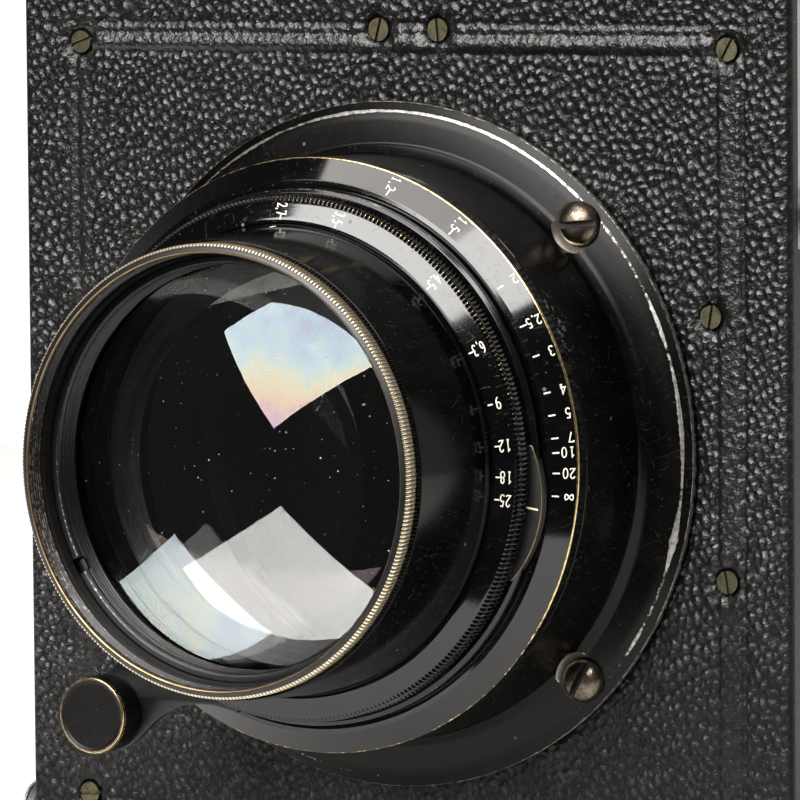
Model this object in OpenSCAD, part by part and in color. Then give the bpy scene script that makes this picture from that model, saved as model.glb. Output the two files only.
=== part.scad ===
// Folding reflex camera for 65 x 90 mm glass plates, with a fast 120 mm lens.
// The front board is carried on crossed struts and folds back to the shutter body.
// Millimetres. +X is to the right seen from the front, the lens looks along -Y, +Z is up.
// The origin is the mouth of the tripod bush in the underside of the shutter body.

/* [Front board] */
// Width of the camera across the front board
board_w = 109; // [108.6:0.1:109.4]
// Height of the camera without the screen frame
board_h = 112; // [111.6:0.1:112.4]
// Height of the lens axis above the base
axis_h = 55; // [54.8:0.1:55.2]
// Thickness of the leather covering
leather_t = 1; // [0.8:0.1:1]

/* [Lens] */
// Outer radius of the lacquered lens flange
flange_r = 42.2; // [41.5:0.1:42.5]
// Outer radius of the distance scale ring
scale_r = 36.1; // [35.8:0.1:36.4]
// Outer radius of the knurled aperture ring
aper_r = 31.7; // [31.2:0.1:31.9]
// Outer radius of the milled front rim
rim_r = 27; // [26.8:0.1:27.2]
// Nearest focusing distance in metres
near_m = 1.2; // [1.2:0.1:3]
// Focal length of the lens
focal = 120; // [118:1:122]

/* [Folding] */
// Length of the crossed struts between their pivots
strut_l = 104; // [103.8:0.1:104.2]
// How far the front board folds back
travel = 44; // [40:1:44]

/* [Focusing hood] */
// Height of the raised hood above the screen frame
hood_h = 49.5; // [40:0.5:49.5]

/* [Hidden] */
e = 0.01;
hw = board_w / 2;                 // half width
front_y = -81;                    // leather face of the front board
board_y = front_y + leather_t;    // front of the board itself
board_back = -71;
body_y0 = -11;                    // front edge of the shutter body
body_y1 = 26;                     // rear edge of the shutter body
back_y = 35;                      // rear face of the plate back
shell_hw = hw - 0.5;              // body shell under its thin side leather
wall = 4;
film_y = 30.5;
mirror_y = -31.5;                 // where the lens axis meets the mirror
hinge_y = mirror_y + 39;
hinge_z = axis_h + 39;
hinge_r = 1.5;
screen_z = axis_h + film_y - mirror_y;   // ground side of the focusing screen
frame_z0 = board_h + 0.6;
frame_z1 = 120;
strut_y = -7;                     // strut pivots on the body
strutf_y = -75;                   // strut pivots on the front board
strut_z = 5;
d_open = strut_y - strutf_y;
d_shut = d_open - travel;
// the strut angle is led by a straight-line law, so it is offset to share the error
strut_bias = 0.42;
th_open = acos(d_open / strut_l) + strut_bias;
th_shut = acos(d_shut / strut_l) + strut_bias;
stud_r = 1.3;
slot_r = stud_r + 0.8;
slot_z0 = strut_z + strut_l * sin(th_open) - 1.2;
slot_z1 = strut_z + strut_l * sin(th_shut) + 1.2;
ax = hw + 0.3;                    // inner face of the inner strut layer
ay0 = ax; ay1 = ax + 1.0;         // inner strut layer
by0 = ay1 + 0.3; by1 = by0 + 1.0; // outer strut layer
lead = 62.3;                      // helicoid lead per turn
function extension_at(m) = focal * focal / (m * 1000 - focal);
function focus_deg(m) = 360 * extension_at(m) / lead;
roller_y = 15; roller_z = 101.5; roller_r = 6;
lower_y = 15.7; lower_z = 10.5; lower_r = 5.3;
curtain_y = 21.3;
gear_m = 0.8; gear_n = 24; pinion_n = 12;
wind_y = roller_y; wind_z = roller_z - gear_m * (gear_n + pinion_n) / 2 - 0.15;
tension_z = 27;
release_z = 62; release_y = 10;
hood_x = 48.5; hood_yf = -72; hood_yr = -3;
hz_side = 121.5; hz_rear = 123.2; hz_front = 124.9;
hood_top = frame_z1 + hood_h;
knob_x = -28.3; knob_z = -32.4;

// ---------- helpers ----------
module both() { children(); mirror([1, 0, 0]) children(); }
// a cylinder along X
module xcyl(r, x0, x1, y, z) { translate([x0, y, z]) rotate([0, 90, 0]) cylinder(r = r, h = x1 - x0, $fn = 48); }
// a cylinder along Y
module ycyl(r, y0, y1, x, z) { translate([x, y1, z]) rotate([90, 0, 0]) cylinder(r = r, h = y1 - y0, $fn = 48); }
module box(x0, x1, y0, y1, z0, z1) { translate([x0, y0, z0]) cube([x1 - x0, y1 - y0, z1 - z0]); }
// a plane rectangle with round corners
module rrect(w, h, r) {
  union() {
    translate([-w / 2 + r, -h / 2]) square([w - 2 * r, h]);
    translate([-w / 2, -h / 2 + r]) square([w, h - 2 * r]);
    for (i = [-1, 1], j = [-1, 1]) translate([i * (w / 2 - r), j * (h / 2 - r)]) circle(r = r, $fn = 32);
  }
}
// lens frame: local z is the distance in front of the panel, local x and y are X and Z
module lens_frame() { translate([0, front_y, axis_h]) rotate([90, 0, 0]) children(); }
module lens_rev(p) { lens_frame() rotate_extrude($fn = 96) polygon(p); }
module lens_tube(r0, r1, d0, d1) {
  lens_frame() translate([0, 0, d0]) difference() {
    cylinder(r = r1, h = d1 - d0, $fn = 96);
    translate([0, 0, -1]) cylinder(r = r0, h = d1 - d0 + 2, $fn = 96);
  }
}
// a glass element: a round disc cut from two balls; f > 0 bulges forward, b > 0 bulges back
module element(r, d0, d1, f, b) {
  lens_frame() intersection() {
    translate([0, 0, d0 - 6]) cylinder(r = r, h = d1 - d0 + 12, $fn = 96);
    if (f > 0) translate([0, 0, d1 - f]) sphere(r = f, $fn = 240);
    if (b > 0) translate([0, 0, d0 + b]) sphere(r = b, $fn = 240);
    translate([0, 0, d0]) cylinder(r = r + 1, h = d1 - d0, $fn = 96);
  }
}
// a slotted screw head facing -Y
module slot_screw(x, y, z, r, h, a, shank, len) {
  translate([x, y, z]) rotate([90, 0, 0]) difference() {
    union() {
      cylinder(r = r, h = h, $fn = 32);
      translate([0, 0, -len]) cylinder(r = shank, h = len + e, $fn = 24);
    }
    rotate([0, 0, a]) translate([-r - 1, -r * 0.14, h * 0.55]) cube([2 * r + 2, r * 0.28, h]);
  }
}
panel_screws = [[-46, 49.1, 20], [-2.3, 50.9, 75], [6.1, 50.9, 95], [46, 48.8, 60], [43.7, 16.8, 80],
  [45.8, -15, 100], [-46, -46.3, 5], [46, -46.3, 50], [-45.8, 15, 30], [-45.8, -16, 70], [-4, -50, 20], [5, -50, 65]];
flange_holes = [45.5, 134.5, 225.5, 315];
flange_hole_r = 38.9;

// ---------- front board ----------
module front_board() {
  color("dimgray") difference() {
    translate([0, board_back, board_h / 2]) rotate([90, 0, 0])
      linear_extrude(board_back - board_y) rrect(board_w, board_h, 1.5);
    ycyl(34.4, board_y - 1, board_back + 1, 0, axis_h);
    both() {
      box(hw - 1.05, hw + 1, strutf_y - 4, strutf_y + 3.5, slot_z0 - 3, slot_z1 + 3);
      box(hw - 3.6, hw, strutf_y - slot_r, strutf_y + slot_r, slot_z0 - slot_r, slot_z1 + slot_r);
      xcyl(1.55, hw - 7, hw + 1, strutf_y, strut_z);
    }
    for (s = panel_screws) ycyl(0.95, board_y - 1, board_y + 6.2, s[0], axis_h + s[1]);
    for (a = flange_holes) ycyl(1.3, board_y - 1, board_y + 7, flange_hole_r * cos(a), axis_h + flange_hole_r * sin(a));
    for (i = [-1, 1], y = [-75.5]) translate([i * 30, y, board_h - 6]) cylinder(r = 1.25, h = 8, $fn = 24);
  }
}
module front_leather() {
  color("#1c1b1a") difference() {
    union() {
      translate([0, board_y, board_h / 2]) rotate([90, 0, 0]) linear_extrude(leather_t) rrect(board_w, board_h, 1.5);
      // the raised bead that runs round the panel
      translate([0, front_y + e, axis_h]) rotate([90, 0, 0]) linear_extrude(0.35 + e) difference() {
        translate([0, 0.6]) rrect(96, 101.6, 2);
        translate([0, 0.6]) rrect(89.6, 95.2, 1);
      }
    }
    ycyl(34.4, front_y - 2, board_y + 1, 0, axis_h);
    for (t = flange_holes) ycyl(1.35, front_y - 2, board_y + 1, flange_hole_r * cos(t), axis_h + flange_hole_r * sin(t));
    for (s = panel_screws) ycyl(1.75, front_y - 2, board_y + 1, s[0], axis_h + s[1]);
  }
}
module board_screws() {
  color("darkgoldenrod") for (s = panel_screws)
    slot_screw(s[0], board_y, axis_h + s[1], 1.4, 0.85, s[2], 0.85, 6);
}
module board_slot_guides() {
  color("silver") both() slot_plate(strutf_y);
}
// nickel plate let into a side, with the slot that a strut end slides in
module slot_plate(y) {
  difference() {
    box(hw - 1, hw, y - 3.9, y + 3.4, slot_z0 - 2.9, slot_z1 + 2.9);
    box(hw - 2, hw + 1, y - slot_r, y + slot_r, slot_z0, slot_z1);
    for (z = [slot_z0, slot_z1]) xcyl(slot_r, hw - 2, hw + 1, y, z);
  }
}
// pivot stud with a collar below and a domed head above the strut
module stud(y, z, x_in, x_arm0, x_arm1, r, head_r) {
  xcyl(r, x_in, x_arm1 + 0.25 + e, y, z);
  translate([x_arm1 + 0.25, y, z]) rotate([0, 90, 0]) rotate_extrude($fn = 48)
    polygon([[0, 0], [head_r, 0], [head_r, 0.4], [head_r * 0.82, 0.8], [head_r * 0.5, 1.0], [0, 1.1]]);
}
module board_strut_pivots() {
  color("gray") both() {
    stud(strutf_y, strut_z, hw - 6.5, by0, by1, 1.5, 4);
    difference() { xcyl(3, hw, by0 - 0.25, strutf_y, strut_z); xcyl(1.5 - e, hw - 1, by0, strutf_y, strut_z); }
  }
}

// ---------- lens mount and focusing ----------
module lens_flange() {
  color("#15151a") difference() {
    lens_rev([[31.68, -13], [34.1, -13], [34.1, -0.95], [34.1, 0], [flange_r, 0], [flange_r, 1.9], [flange_r - 0.4, 2.3],
      [36.6, 3.3], [36.0, 3.5], [35.9, 4.2], [35.9, 16.5], [31.68, 16.5]]);
    for (a = flange_holes) {
      ycyl(1.3, front_y - 5, board_y + 2, flange_hole_r * cos(a), axis_h + flange_hole_r * sin(a));
      ycyl(2.8, front_y - 5, front_y - 1.9, flange_hole_r * cos(a), axis_h + flange_hole_r * sin(a));
    }
  }
}
module flange_screws() {
  color("darkgoldenrod") for (k = [0:3]) {
    a = flange_holes[k];
    translate([flange_hole_r * cos(a), front_y - 1.92, axis_h + flange_hole_r * sin(a)]) rotate([90, 0, 0]) difference() {
      union() {
        rotate_extrude($fn = 48) polygon([[0, 0], [2.65, 0], [2.65, 1.15], [2.45, 1.5], [1.9, 1.85], [1.1, 2.1], [0, 2.2]]);
        translate([0, 0, -9]) cylinder(r = 1.2, h = 9 + e, $fn = 24);
      }
      rotate([0, 0, [5, 40, 80, 60][k]]) translate([-4, -0.35, 1.2]) cube([8, 0.7, 2]);
    }
  }
}
module distance_ring() {
  color("#101014") lens_rev([[32.2, 16.55], [scale_r - 0.3, 16.55], [scale_r, 16.9], [scale_r, 18.6], [scale_r - 0.15, 18.8],
    [33.4, 20.65], [33.1, 20.7], [32.2, 20.7]]);
}
module lens_lock_ring() {
  color("#202024") difference() {
    lens_tube(34.15, 39.5, -12.9, -10.2);
    for (a = [0:90:270]) lens_frame() rotate([0, 0, a]) translate([36, -1.2, -14]) cube([5, 2.4, 5]);
  }
}
module focus_arm_2d() {
  // flat S-curved arm from the ring to the knob, and the index lug
  polygon([[-9.7, -31.4], [-12.1, -30.9], [-13.5, -30.7], [-15.5, -30.7], [-17.2, -30.9], [-18.6, -31.4], [-20.2, -32.2], [-21.3, -32.9],
    [-22.7, -34.1], [-24.3, -35.6], [-26, -36.7], [-27.3, -37], [-29.5, -36.4], [-31.6, -34.6], [-32.6, -32.2], [-31.8, -29.6], [-30, -28.2], [-27.5, -26.8], [-26.5, -24.5],
    [-26.6, -20.5], [-27.9, -16.5], [-22, -16], [-8, -30.5]]);
  // index lug with a long curved outer edge
  polygon([for (a = [-25:2.5:5]) let (t = (a + 10) / 15, r = 33.35 - 1.5 * t * t) [r * cos(a), r * sin(a)],
    for (a = [5:-5:-25]) [30.5 * cos(a), 30.5 * sin(a)]]);
}
module focus_ring() {
  color("#26262a") difference() {
    union() {
      lens_rev([[29.88, 5], [31.6, 5], [31.6, 20.5], [31.6, 20.9], [32.1, 20.9], [32.4, 21.3], [32.4, 21.8], [32.0, 22.2], [29.88, 22.2]]);
      lens_frame() translate([0, 0, 21.0]) linear_extrude(1.2) difference() { focus_arm_2d(); circle(r = 31, $fn = 96); }
    }
    lens_frame() translate([knob_x, knob_z, 18]) cylinder(r = 1.05, h = 6, $fn = 32);
  }
}
module focus_knob() {
  color("#18181a") lens_frame() translate([knob_x, knob_z, 0]) {
    rotate_extrude($fn = 64) polygon([[0, 19.9], [2.1, 19.9], [2.1, 20.9], [1.0, 20.9], [1.0, 22.3], [4.4, 22.3], [4.75, 22.6],
      [4.75, 25.7], [4.5, 26], [4.3, 26.05], [0, 25.9]]);
  }
}

// ---------- lens barrel ----------
module aperture_ring() {
  color("#141416") lens_rev([[28.48, 22.5], [31.3, 22.5], [aper_r, 22.9], [aper_r, 25.1], [aper_r - 0.3, 25.3], [28.9, 26.15], [28.48, 26.2]]);
}
module lens_barrel() {
  color("#121214") difference() {
    lens_rev([[27.2, -6], [29.8, -6], [29.8, 22.4], [28.4, 22.4], [28.4, 26.4], [28.2, 27], [27.3, 40.3], [26.1, 40.3], [26.1, 37.2],
      [24.6, 37.2], [24.6, 30.2], [23.4, 30.2], [23.4, 24], [21.3, 24], [21.3, 12], [25, 12], [25, 8], [27.2, 8]]);
    // key slot that stops the barrel turning
    lens_frame() translate([-1, 28.6, -7]) cube([2, 2, 20]);
  }
}
module front_rim() {
  color("#b08d57") lens_rev([[25.4, 38.6], [25.4, 40.05], [25.75, 40.05], [25.75, 42.4], [25.9, 42.9], [26.2, 42.95], [26.7, 42.75],
    [rim_r, 42.3], [rim_r, 40.9], [26.7, 40.4], [26.05, 40.4], [26.05, 38.6]]);
}
module front_retaining_ring() {
  color("#2b2b2d") lens_rev([[24.2, 35], [24.5, 35], [24.5, 37.25], [25.65, 37.25], [25.65, 38.2], [25.35, 38.5], [24.6, 38.5], [24.3, 38.2]]);
}
module front_element() { color("lightblue", 0.4) element(24.45, 30.6, 39.8, 50, 0); }
module second_element() { color("lightblue", 0.4) element(23.3, 24.3, 30.0, 70, 0); }
module iris_blades() {
  // thin curved blades, stacked one over the other and nearly fully open
  color("#1a1a1c") lens_frame() for (i = [0:9]) translate([0, 0, 19.6 + i * 0.28]) rotate([0, 0, 36 * i]) linear_extrude(0.16)
    difference() {
      circle(r = 21.1, $fn = 64);
      translate([-1.6, 0]) circle(r = 19.2, $fn = 64);
      translate([-30, -30]) square([30, 60]);
    }
}
module third_element() {
  // both faces are hollow
  color("lightblue", 0.4) lens_frame() difference() {
    translate([0, 0, 12.4]) cylinder(r = 21.1, h = 6.4, $fn = 96);
    translate([0, 0, 15.95 + 95]) sphere(r = 95, $fn = 240);
    translate([0, 0, 12.4 - 66 + 1.9]) sphere(r = 66, $fn = 240);
  }
}
module rear_element() { color("lightblue", 0.4) element(22.3, -3, 5.6, 60, 90); }
module rear_cell() {
  color("#161618") lens_rev([[22.4, -4], [22.4, 5.8], [21, 7.6], [21, 11.8], [24.9, 11.8], [24.9, 7.9], [27.1, 7.9], [27.1, -5.8], [26, -6.5], [21.2, -6.5], [20.6, -4]]);
}

// ---------- bellows ----------
module u_ring(w, y0, y1, z0, t) {
  // a U of three walls, open at the top
  difference() {
    box(-w, w, y0, y1, z0, board_h - 1);
    box(-w + t, w - t, y0 - 1, y1 + 1, z0 + t, board_h + 1);
  }
}
module front_bellows_frame() { color("#2a2a2a") u_ring(51, board_back, board_back + 1.5, 3, 5.5); }
module rear_bellows_frame() { color("#2a2a2a") u_ring(51, body_y0 - 1.5, body_y0, 3, 5); }
module bellows() {
  n = 14; y0 = board_back + 1.5; p = (body_y0 - 1.5 - y0) / n;
  color("#202020") for (i = [0:n - 1])
    u_ring(i % 2 == 0 ? 51 : 49.4, y0 + i * p, y0 + (i + 1) * p, i % 2 == 0 ? 3 : 4.6, i % 2 == 0 ? 5 : 3.4);
}

// ---------- screen frame and hood ----------
module screen_frame() {
  color("#1b1b1b") difference() {
    union() {
      translate([0, (-80.5 + 1) / 2, frame_z0]) linear_extrude(frame_z1 - frame_z0) rrect(2 * 53, 81.5, 2);
      box(-53, 53, -80, board_back - 0.5, board_h, frame_z0 + e);
    }
    box(-44, 44, -62, -6.4, frame_z0 - 2, frame_z1 + 1);
    box(-47, 47, -65, -4.5, screen_z, frame_z1 + 1);
    both() box(48.2, 50.8, -57, 3, frame_z0 - 2, frame_z0 + 2.2);
    for (i = [-1, 1]) translate([i * 30, -75.5, board_h - 1]) {
      cylinder(r = 1.3, h = 20, $fn = 24);
      translate([0, 0, 6.5]) cylinder(r = 2.6, h = 10, $fn = 32);
    }
    // seats for the hood lugs
    for (y = [-56, -19]) both() box(hood_x - 1.6, hood_x + 1.6, y - 2.1, y + 2.1, frame_z1 - 1.5, frame_z1 + 1);
    for (x = [-30, 30]) { box(x - 2.1, x + 2.1, hood_yf - 1.6, hood_yf + 1.6, frame_z1 - 1.5, frame_z1 + 1);
      box(x - 2.1, x + 2.1, hood_yr - 1.0, hood_yr + 1.6, frame_z1 - 1.5, frame_z1 + 1); }
  }
}
module ground_glass() { color("white", 0.6) box(-46.7, 46.7, -64.7, -4.8, screen_z, screen_z + 1.8); }
module screen_retainer() {
  color("#303030") difference() {
    box(-46.8, 46.8, -64.8, -4.7, screen_z + 1.85, frame_z1);
    box(-44.2, 44.2, -62.2, -6.2, screen_z, frame_z1 + 1);
  }
}
// one hinge lug with its pin, centred on the hinge line; the line runs along local X
module hinge_lug(h, t0, t1) {
  difference() {
    union() { translate([-2, t0, -h]) cube([4, t1 - t0, h]); translate([-2, 0, 0]) rotate([0, 90, 0]) cylinder(r = 1.2, h = 4, $fn = 32); }
  }
  translate([-6, 0, 0]) rotate([0, 90, 0]) cylinder(r = 0.6, h = 12, $fn = 32);
}
module hood_hinge_lugs() {
  color("#555") {
    for (y = [-56, -19]) both() translate([hood_x, y, hz_side]) rotate([0, 0, 90]) hinge_lug(hz_side - frame_z1 + 1.5, -1.2, 1.2);
    for (x = [-30, 30]) {
      translate([x, hood_yf, hz_front]) hinge_lug(hz_front - frame_z1 + 1.5, -1.2, 1.2);
      translate([x, hood_yr, hz_rear]) hinge_lug(hz_rear - frame_z1 + 1.5, -0.9, 1.2);
    }
  }
}
// one hood leaf, upright, its hinge line along local X at the origin; lug gaps at +-s
module hood_leaf(w0, w1, h, s) {
  difference() {
    union() {
      box(w0, w1, -0.5, 0.5, 0, h);
      for (c = s) translate([c - 7, 0, 0]) rotate([0, 90, 0]) cylinder(r = 1.1, h = 14, $fn = 32);
      // turned lip along the top edge for stiffness
      box(w0 + 2, w1 - 2, -0.7, 0.5, h - 1.5, h);
    }
    for (c = s) {
      box(c - 2.4, c + 2.4, -3, 3, -3, 2.2);
      translate([c - 8, 0, 0]) rotate([0, 90, 0]) cylinder(r = 0.65, h = 16, $fn = 32);
    }
  }
}
module hood_left() { color("#1a1a1a") translate([-hood_x, 0, hz_side]) rotate([0, 0, 90]) hood_leaf(-70, -5, hood_top - hz_side, [-56, -19]); }
module hood_right() { color("#1a1a1a") mirror([1, 0, 0]) hood_left(); }
module hood_front() { color("#1a1a1a") translate([0, hood_yf, hz_front]) mirror([0, 1, 0]) hood_leaf(-46.5, 46.5, hood_top - hz_front, [-30, 30]); }
module hood_rear() { color("#1a1a1a") translate([0, hood_yr, hz_rear]) hood_leaf(-46.5, 46.5, hood_top - hz_rear, [-30, 30]); }

// ---------- shutter body ----------
module body_shell() {
  color("#232323") difference() {
    union() {
      difference() {
        box(-shell_hw, shell_hw, body_y0, body_y1, 0, board_h);
        box(-shell_hw + wall, shell_hw - wall, body_y0 + 2, body_y1 + 1, wall, board_h - wall);
      }
      // hanger that holds the mirror pin clear of the winding gear
      box(44.7, 46.1, 4.6, 10.1, 91.4, board_h - wall + e);
    }
    box(-46, 46, body_y0 - 1, body_y0 + 3, 8, board_h - wall);
    // light way to the rear of the focusing screen
    box(-46, 46, body_y0 - 1, 0, board_h - wall - 1, board_h + 1);
    both() {
      box(shell_hw - 0.55, hw + 1, strut_y - 4, strut_y + 3.5, slot_z0 - 3, slot_z1 + 3);
      box(hw - 3.4, hw, strut_y - slot_r, strut_y + slot_r, slot_z0 - slot_r, slot_z1 + slot_r);
      xcyl(1.55, shell_hw - 3.4, hw + 1, strut_y, strut_z);
      xcyl(2.45, 45, shell_hw - 0.9, roller_y, roller_z);
      xcyl(2.45, 45, shell_hw - 0.9, lower_y, lower_z);
    }
    xcyl(hinge_r, -shell_hw + 1.5, -45, hinge_y, hinge_z);
    xcyl(hinge_r, 44, 46.3, hinge_y, hinge_z);
    xcyl(3.05, 45, 60, wind_y, wind_z);
    xcyl(2.45, 45, 60, lower_y, tension_z);
    xcyl(2.05, 45, 60, release_y, release_z);
    translate([0, 0, -1]) cylinder(r = 6, h = 6, $fn = 64);
    // strap bolts
    for (z = [24, 86]) xcyl(1.3, -60, -49, 13, z);
    both() for (y = [-4, 22]) translate([49.5, y, board_h - 3]) cylinder(r = 0.9, h = 5, $fn = 24);
  }
  color("#232323") translate([0, 0, wall - e]) difference() { cylinder(r = 8, h = 5.85, $fn = 64); translate([0, 0, -1]) cylinder(r = 6, h = 8, $fn = 64); }
}
// leather for one side of the body
module side_skin() {
  difference() {
    box(shell_hw, hw, body_y0, body_y1, 2, board_h - 2);
    box(shell_hw - 1, hw + 1, strut_y - 4, strut_y + 3.5, slot_z0 - 3, slot_z1 + 3);
    xcyl(3.6, shell_hw - 1, hw + 1, strut_y, strut_z);
  }
}
module body_leather() {
  color("#1c1b1a") {
    difference() {
      side_skin();
      xcyl(13.1, shell_hw - 1, hw + 1, wind_y, wind_z);
      xcyl(3.2, shell_hw - 1, hw + 1, lower_y, tension_z);
      xcyl(2.3, shell_hw - 1, hw + 1, release_y, release_z);
    }
    difference() {
      mirror([1, 0, 0]) side_skin();
      for (z = [24, 86]) box(-hw - 1, -shell_hw + 1, 6.9, 19.1, z - 3.6, z + 3.6);
    }
  }
}
module body_slot_guides() { color("silver") both() slot_plate(strut_y); }
module body_strut_pivots() {
  color("gray") both() {
    stud(strut_y, strut_z, shell_hw - 3.2, ay0, ay1, 1.5, 4);
    difference() { xcyl(3.4, shell_hw, ay0 - 0.1, strut_y, strut_z); xcyl(1.5 - e, shell_hw - 1, ay0, strut_y, strut_z); }
  }
}
module top_rails() {
  color("silver") both() {
    box(48.5, 50.5, body_y0 + 0.5, 34, board_h, board_h + 2);
    for (y = [-4, 22]) translate([49.5, y, board_h - 2.8]) cylinder(r = 0.85, h = 3, $fn = 24);
  }
}
module tripod_bush() {
  color("#b5a642") difference() {
    union() { cylinder(r = 5.95, h = 10, $fn = 64); translate([0, 0, 9.9]) cylinder(r = 7.4, h = 1.1, $fn = 64); }
    translate([0, 0, -1]) cylinder(r = 4, h = 10, $fn = 64);
  }
}
module shutter_gate() {
  // two plates with the picture window, and the curtain runs between them
  color("#1a1a1a") {
    for (y = [17.5, 23]) difference() {
      box(-45.8, 45.8, y, y + 1.5, wall + 13.5, 94);
      box(-44.5, 44.5, y - 1, y + 3, axis_h - 32.5, axis_h + 32.5);
    }
    both() box(44.6, 45.8, 19, 20.5, wall + 13.5, 94);
    both() box(44.6, 45.8, 22.4, 23, wall + 13.5, 94);
    // brackets to the side walls
    both() for (z = [30, 70]) { box(45.8 - e, shell_hw - wall, 17.5, 19, z - 1.5, z + 1.5); box(45.8 - e, shell_hw - wall, 23, 24.5, z - 4, z + 4); }
    both() box(44.6, 45.8, 20.5 - e, 22.4 + e, 92.5, 94);
    both() box(44.6, 45.8, 20.5 - e, 22.4 + e, wall + 13.5, 19);
  }
}
module shutter_curtain() { color("#111") box(-44, 44, curtain_y, curtain_y + 0.4, lower_z, roller_z); }
module roller(r, y, z, x0, x1) {
  xcyl(r, -44.5, 44.5, y, z);
  xcyl(1.5, -52, x1, y, z);
  for (s = [-1, 1]) translate([s * 44.9, y, z]) rotate([0, 90, 0]) cylinder(r = r - 1.4, h = 1, center = true, $fn = 48);
}
module upper_roller() { color("#caa86a") roller(roller_r, roller_y, roller_z, -52, 52); }
module lower_roller() { color("#caa86a") roller(lower_r, lower_y, lower_z, -52, 52); }
module shaft_bushes() {
  color("#b5a642") {
    both() for (p = [[roller_y, roller_z], [lower_y, lower_z]]) difference() {
      xcyl(2.4, 49.6, 53, p[0], p[1]); xcyl(1.55, 49, 52.5, p[0], p[1]);
    }
    difference() { xcyl(3, 49.6, shell_hw, wind_y, wind_z); xcyl(2.05, 49, 60, wind_y, wind_z); }
    difference() { xcyl(2.4, 49.6, hw + 0.3, lower_y, tension_z); xcyl(1.55, 49, 60, lower_y, tension_z); }
  }
}
// toothed wheel along X; teeth are plain trapezoids with room to run
module gear(n, m, x0, x1, y, z, bore, turn) {
  r = n * m / 2; p = 360 / n;
  translate([x0, y, z]) rotate([0, 90, 0]) rotate([0, 0, turn]) difference() {
    union() {
      cylinder(r = r - 1.15 * m, h = x1 - x0, $fn = 64);
      linear_extrude(x1 - x0) for (i = [0:n - 1]) rotate([0, 0, i * p])
        polygon([[r - 1.4 * m, -0.75 * m], [r, -0.62 * m], [r + 0.85 * m, -0.3 * m], [r + 0.85 * m, 0.3 * m], [r, 0.62 * m], [r - 1.4 * m, 0.75 * m]]);
    }
    translate([0, 0, -1]) cylinder(r = bore, h = x1 - x0 + 2, $fn = 48);
  }
}
module roller_pinion() { color("#b5a642") gear(pinion_n, gear_m, 46.4, 49.2, roller_y, roller_z, 1.52, 0); }
module winding_gear() {
  color("#b5a642") {
    gear(gear_n, gear_m, 46.4, 49.2, wind_y, wind_z, 2.02, 180 / gear_n);
    xcyl(2, 46.4, 64.5, wind_y, wind_z);
  }
}
module winding_knob() {
  color("#1a1a1a") translate([0, wind_y, wind_z]) rotate([0, 90, 0]) difference() {
    rotate_extrude($fn = 96) polygon([[2.02, 55.4], [8.6, 55.4], [8.6, 57], [10, 57.4], [10, 63.6], [9.4, 64.4], [8, 65.2], [3.4, 65.2], [3.4, 64.8], [2.02, 64.8]]);
    for (a = [0:15:345]) rotate([0, 0, a]) translate([10.35, 0, 50]) cylinder(r = 0.75, h = 20, $fn = 16);
  }
}
module speed_dial() {
  color("silver") translate([0, wind_y, wind_z]) rotate([0, 90, 0]) difference() {
    rotate_extrude($fn = 96) polygon([[3.2, shell_hw], [13, shell_hw], [13, hw + 0.2], [12.7, hw + 0.45], [3.2, hw + 0.45]]);
  }
}
module tension_knob() {
  color("#1a1a1a") translate([0, lower_y, tension_z]) rotate([0, 90, 0]) {
    difference() {
      rotate_extrude($fn = 64) polygon([[0, 49.8], [1.5, 49.8], [1.5, hw + 0.6], [5.2, hw + 0.6], [5.8, hw + 1], [5.8, hw + 4], [5.3, hw + 4.6], [0, hw + 4.6]]);
      for (a = [0:20:340]) rotate([0, 0, a]) translate([6.1, 0, 50]) cylinder(r = 0.6, h = 20, $fn = 16);
    }
  }
}
module release_button() {
  color("silver") translate([0, release_y, release_z]) rotate([0, 90, 0])
    rotate_extrude($fn = 64) polygon([[0, 48.7], [3.4, 48.7], [3.4, 49.7], [2, 49.7], [2, hw + 3.4], [3.9, hw + 3.4], [4.3, hw + 3.8], [4.2, hw + 4.6], [3, hw + 5.2], [0, hw + 5.4]]);
}

// ---------- mirror ----------
module mirror_pin() { color("gray") xcyl(hinge_r - 0.01, -52.3, 46.1, hinge_y, hinge_z); }
// local frame of the mirror: x across, y down the mirror from the hinge, z out of the silvered face
module mirror_place() { translate([0, hinge_y, hinge_z]) rotate([-135, 0, 0]) mirror([0, 0, 1]) children(); }
module mirror_frame() {
  color("#2c2c2c") difference() {
    union() {
      mirror_place() translate([-41, 4.2, -2.6]) cube([82, 65.3, 3.2]);
      both() xcyl(2.4, 33, 37.5, hinge_y, hinge_z);
      mirror_place() for (s = [-1, 1]) translate([s * 35.25 - 2.25, 0, -2.2]) cube([4.5, 5, 2.2]);
    }
    mirror_place() translate([-40, 5.2, -1.6]) cube([80, 63.3, 3]);
    mirror_place() translate([-32, 12, -4]) cube([64, 50, 5]);
    both() xcyl(hinge_r + 0.05, 32, 39, hinge_y, hinge_z);
  }
}
module mirror_glass() { color("lightsteelblue") mirror_place() translate([-39.8, 5.4, -1.55]) cube([79.6, 62.9, 1.9]); }
module mirror_carrier() {
  // two side arms hung on the same pin, with a rest bar behind the lower edge of the mirror
  color("#3a3a3a") difference() {
    union() {
      both() xcyl(2.4, 42.2, 44.2, hinge_y, hinge_z);
      mirror_place() for (s = [-1, 1]) translate([s * 43.2 - 1, 0, -3.4]) cube([2, 60, 2.4]);
      mirror_place() translate([-44.2, 54, -5.2]) cube([88.4, 6, 1.9]);
    }
    both() xcyl(hinge_r + 0.05, 41, 46, hinge_y, hinge_z);
  }
}

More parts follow.
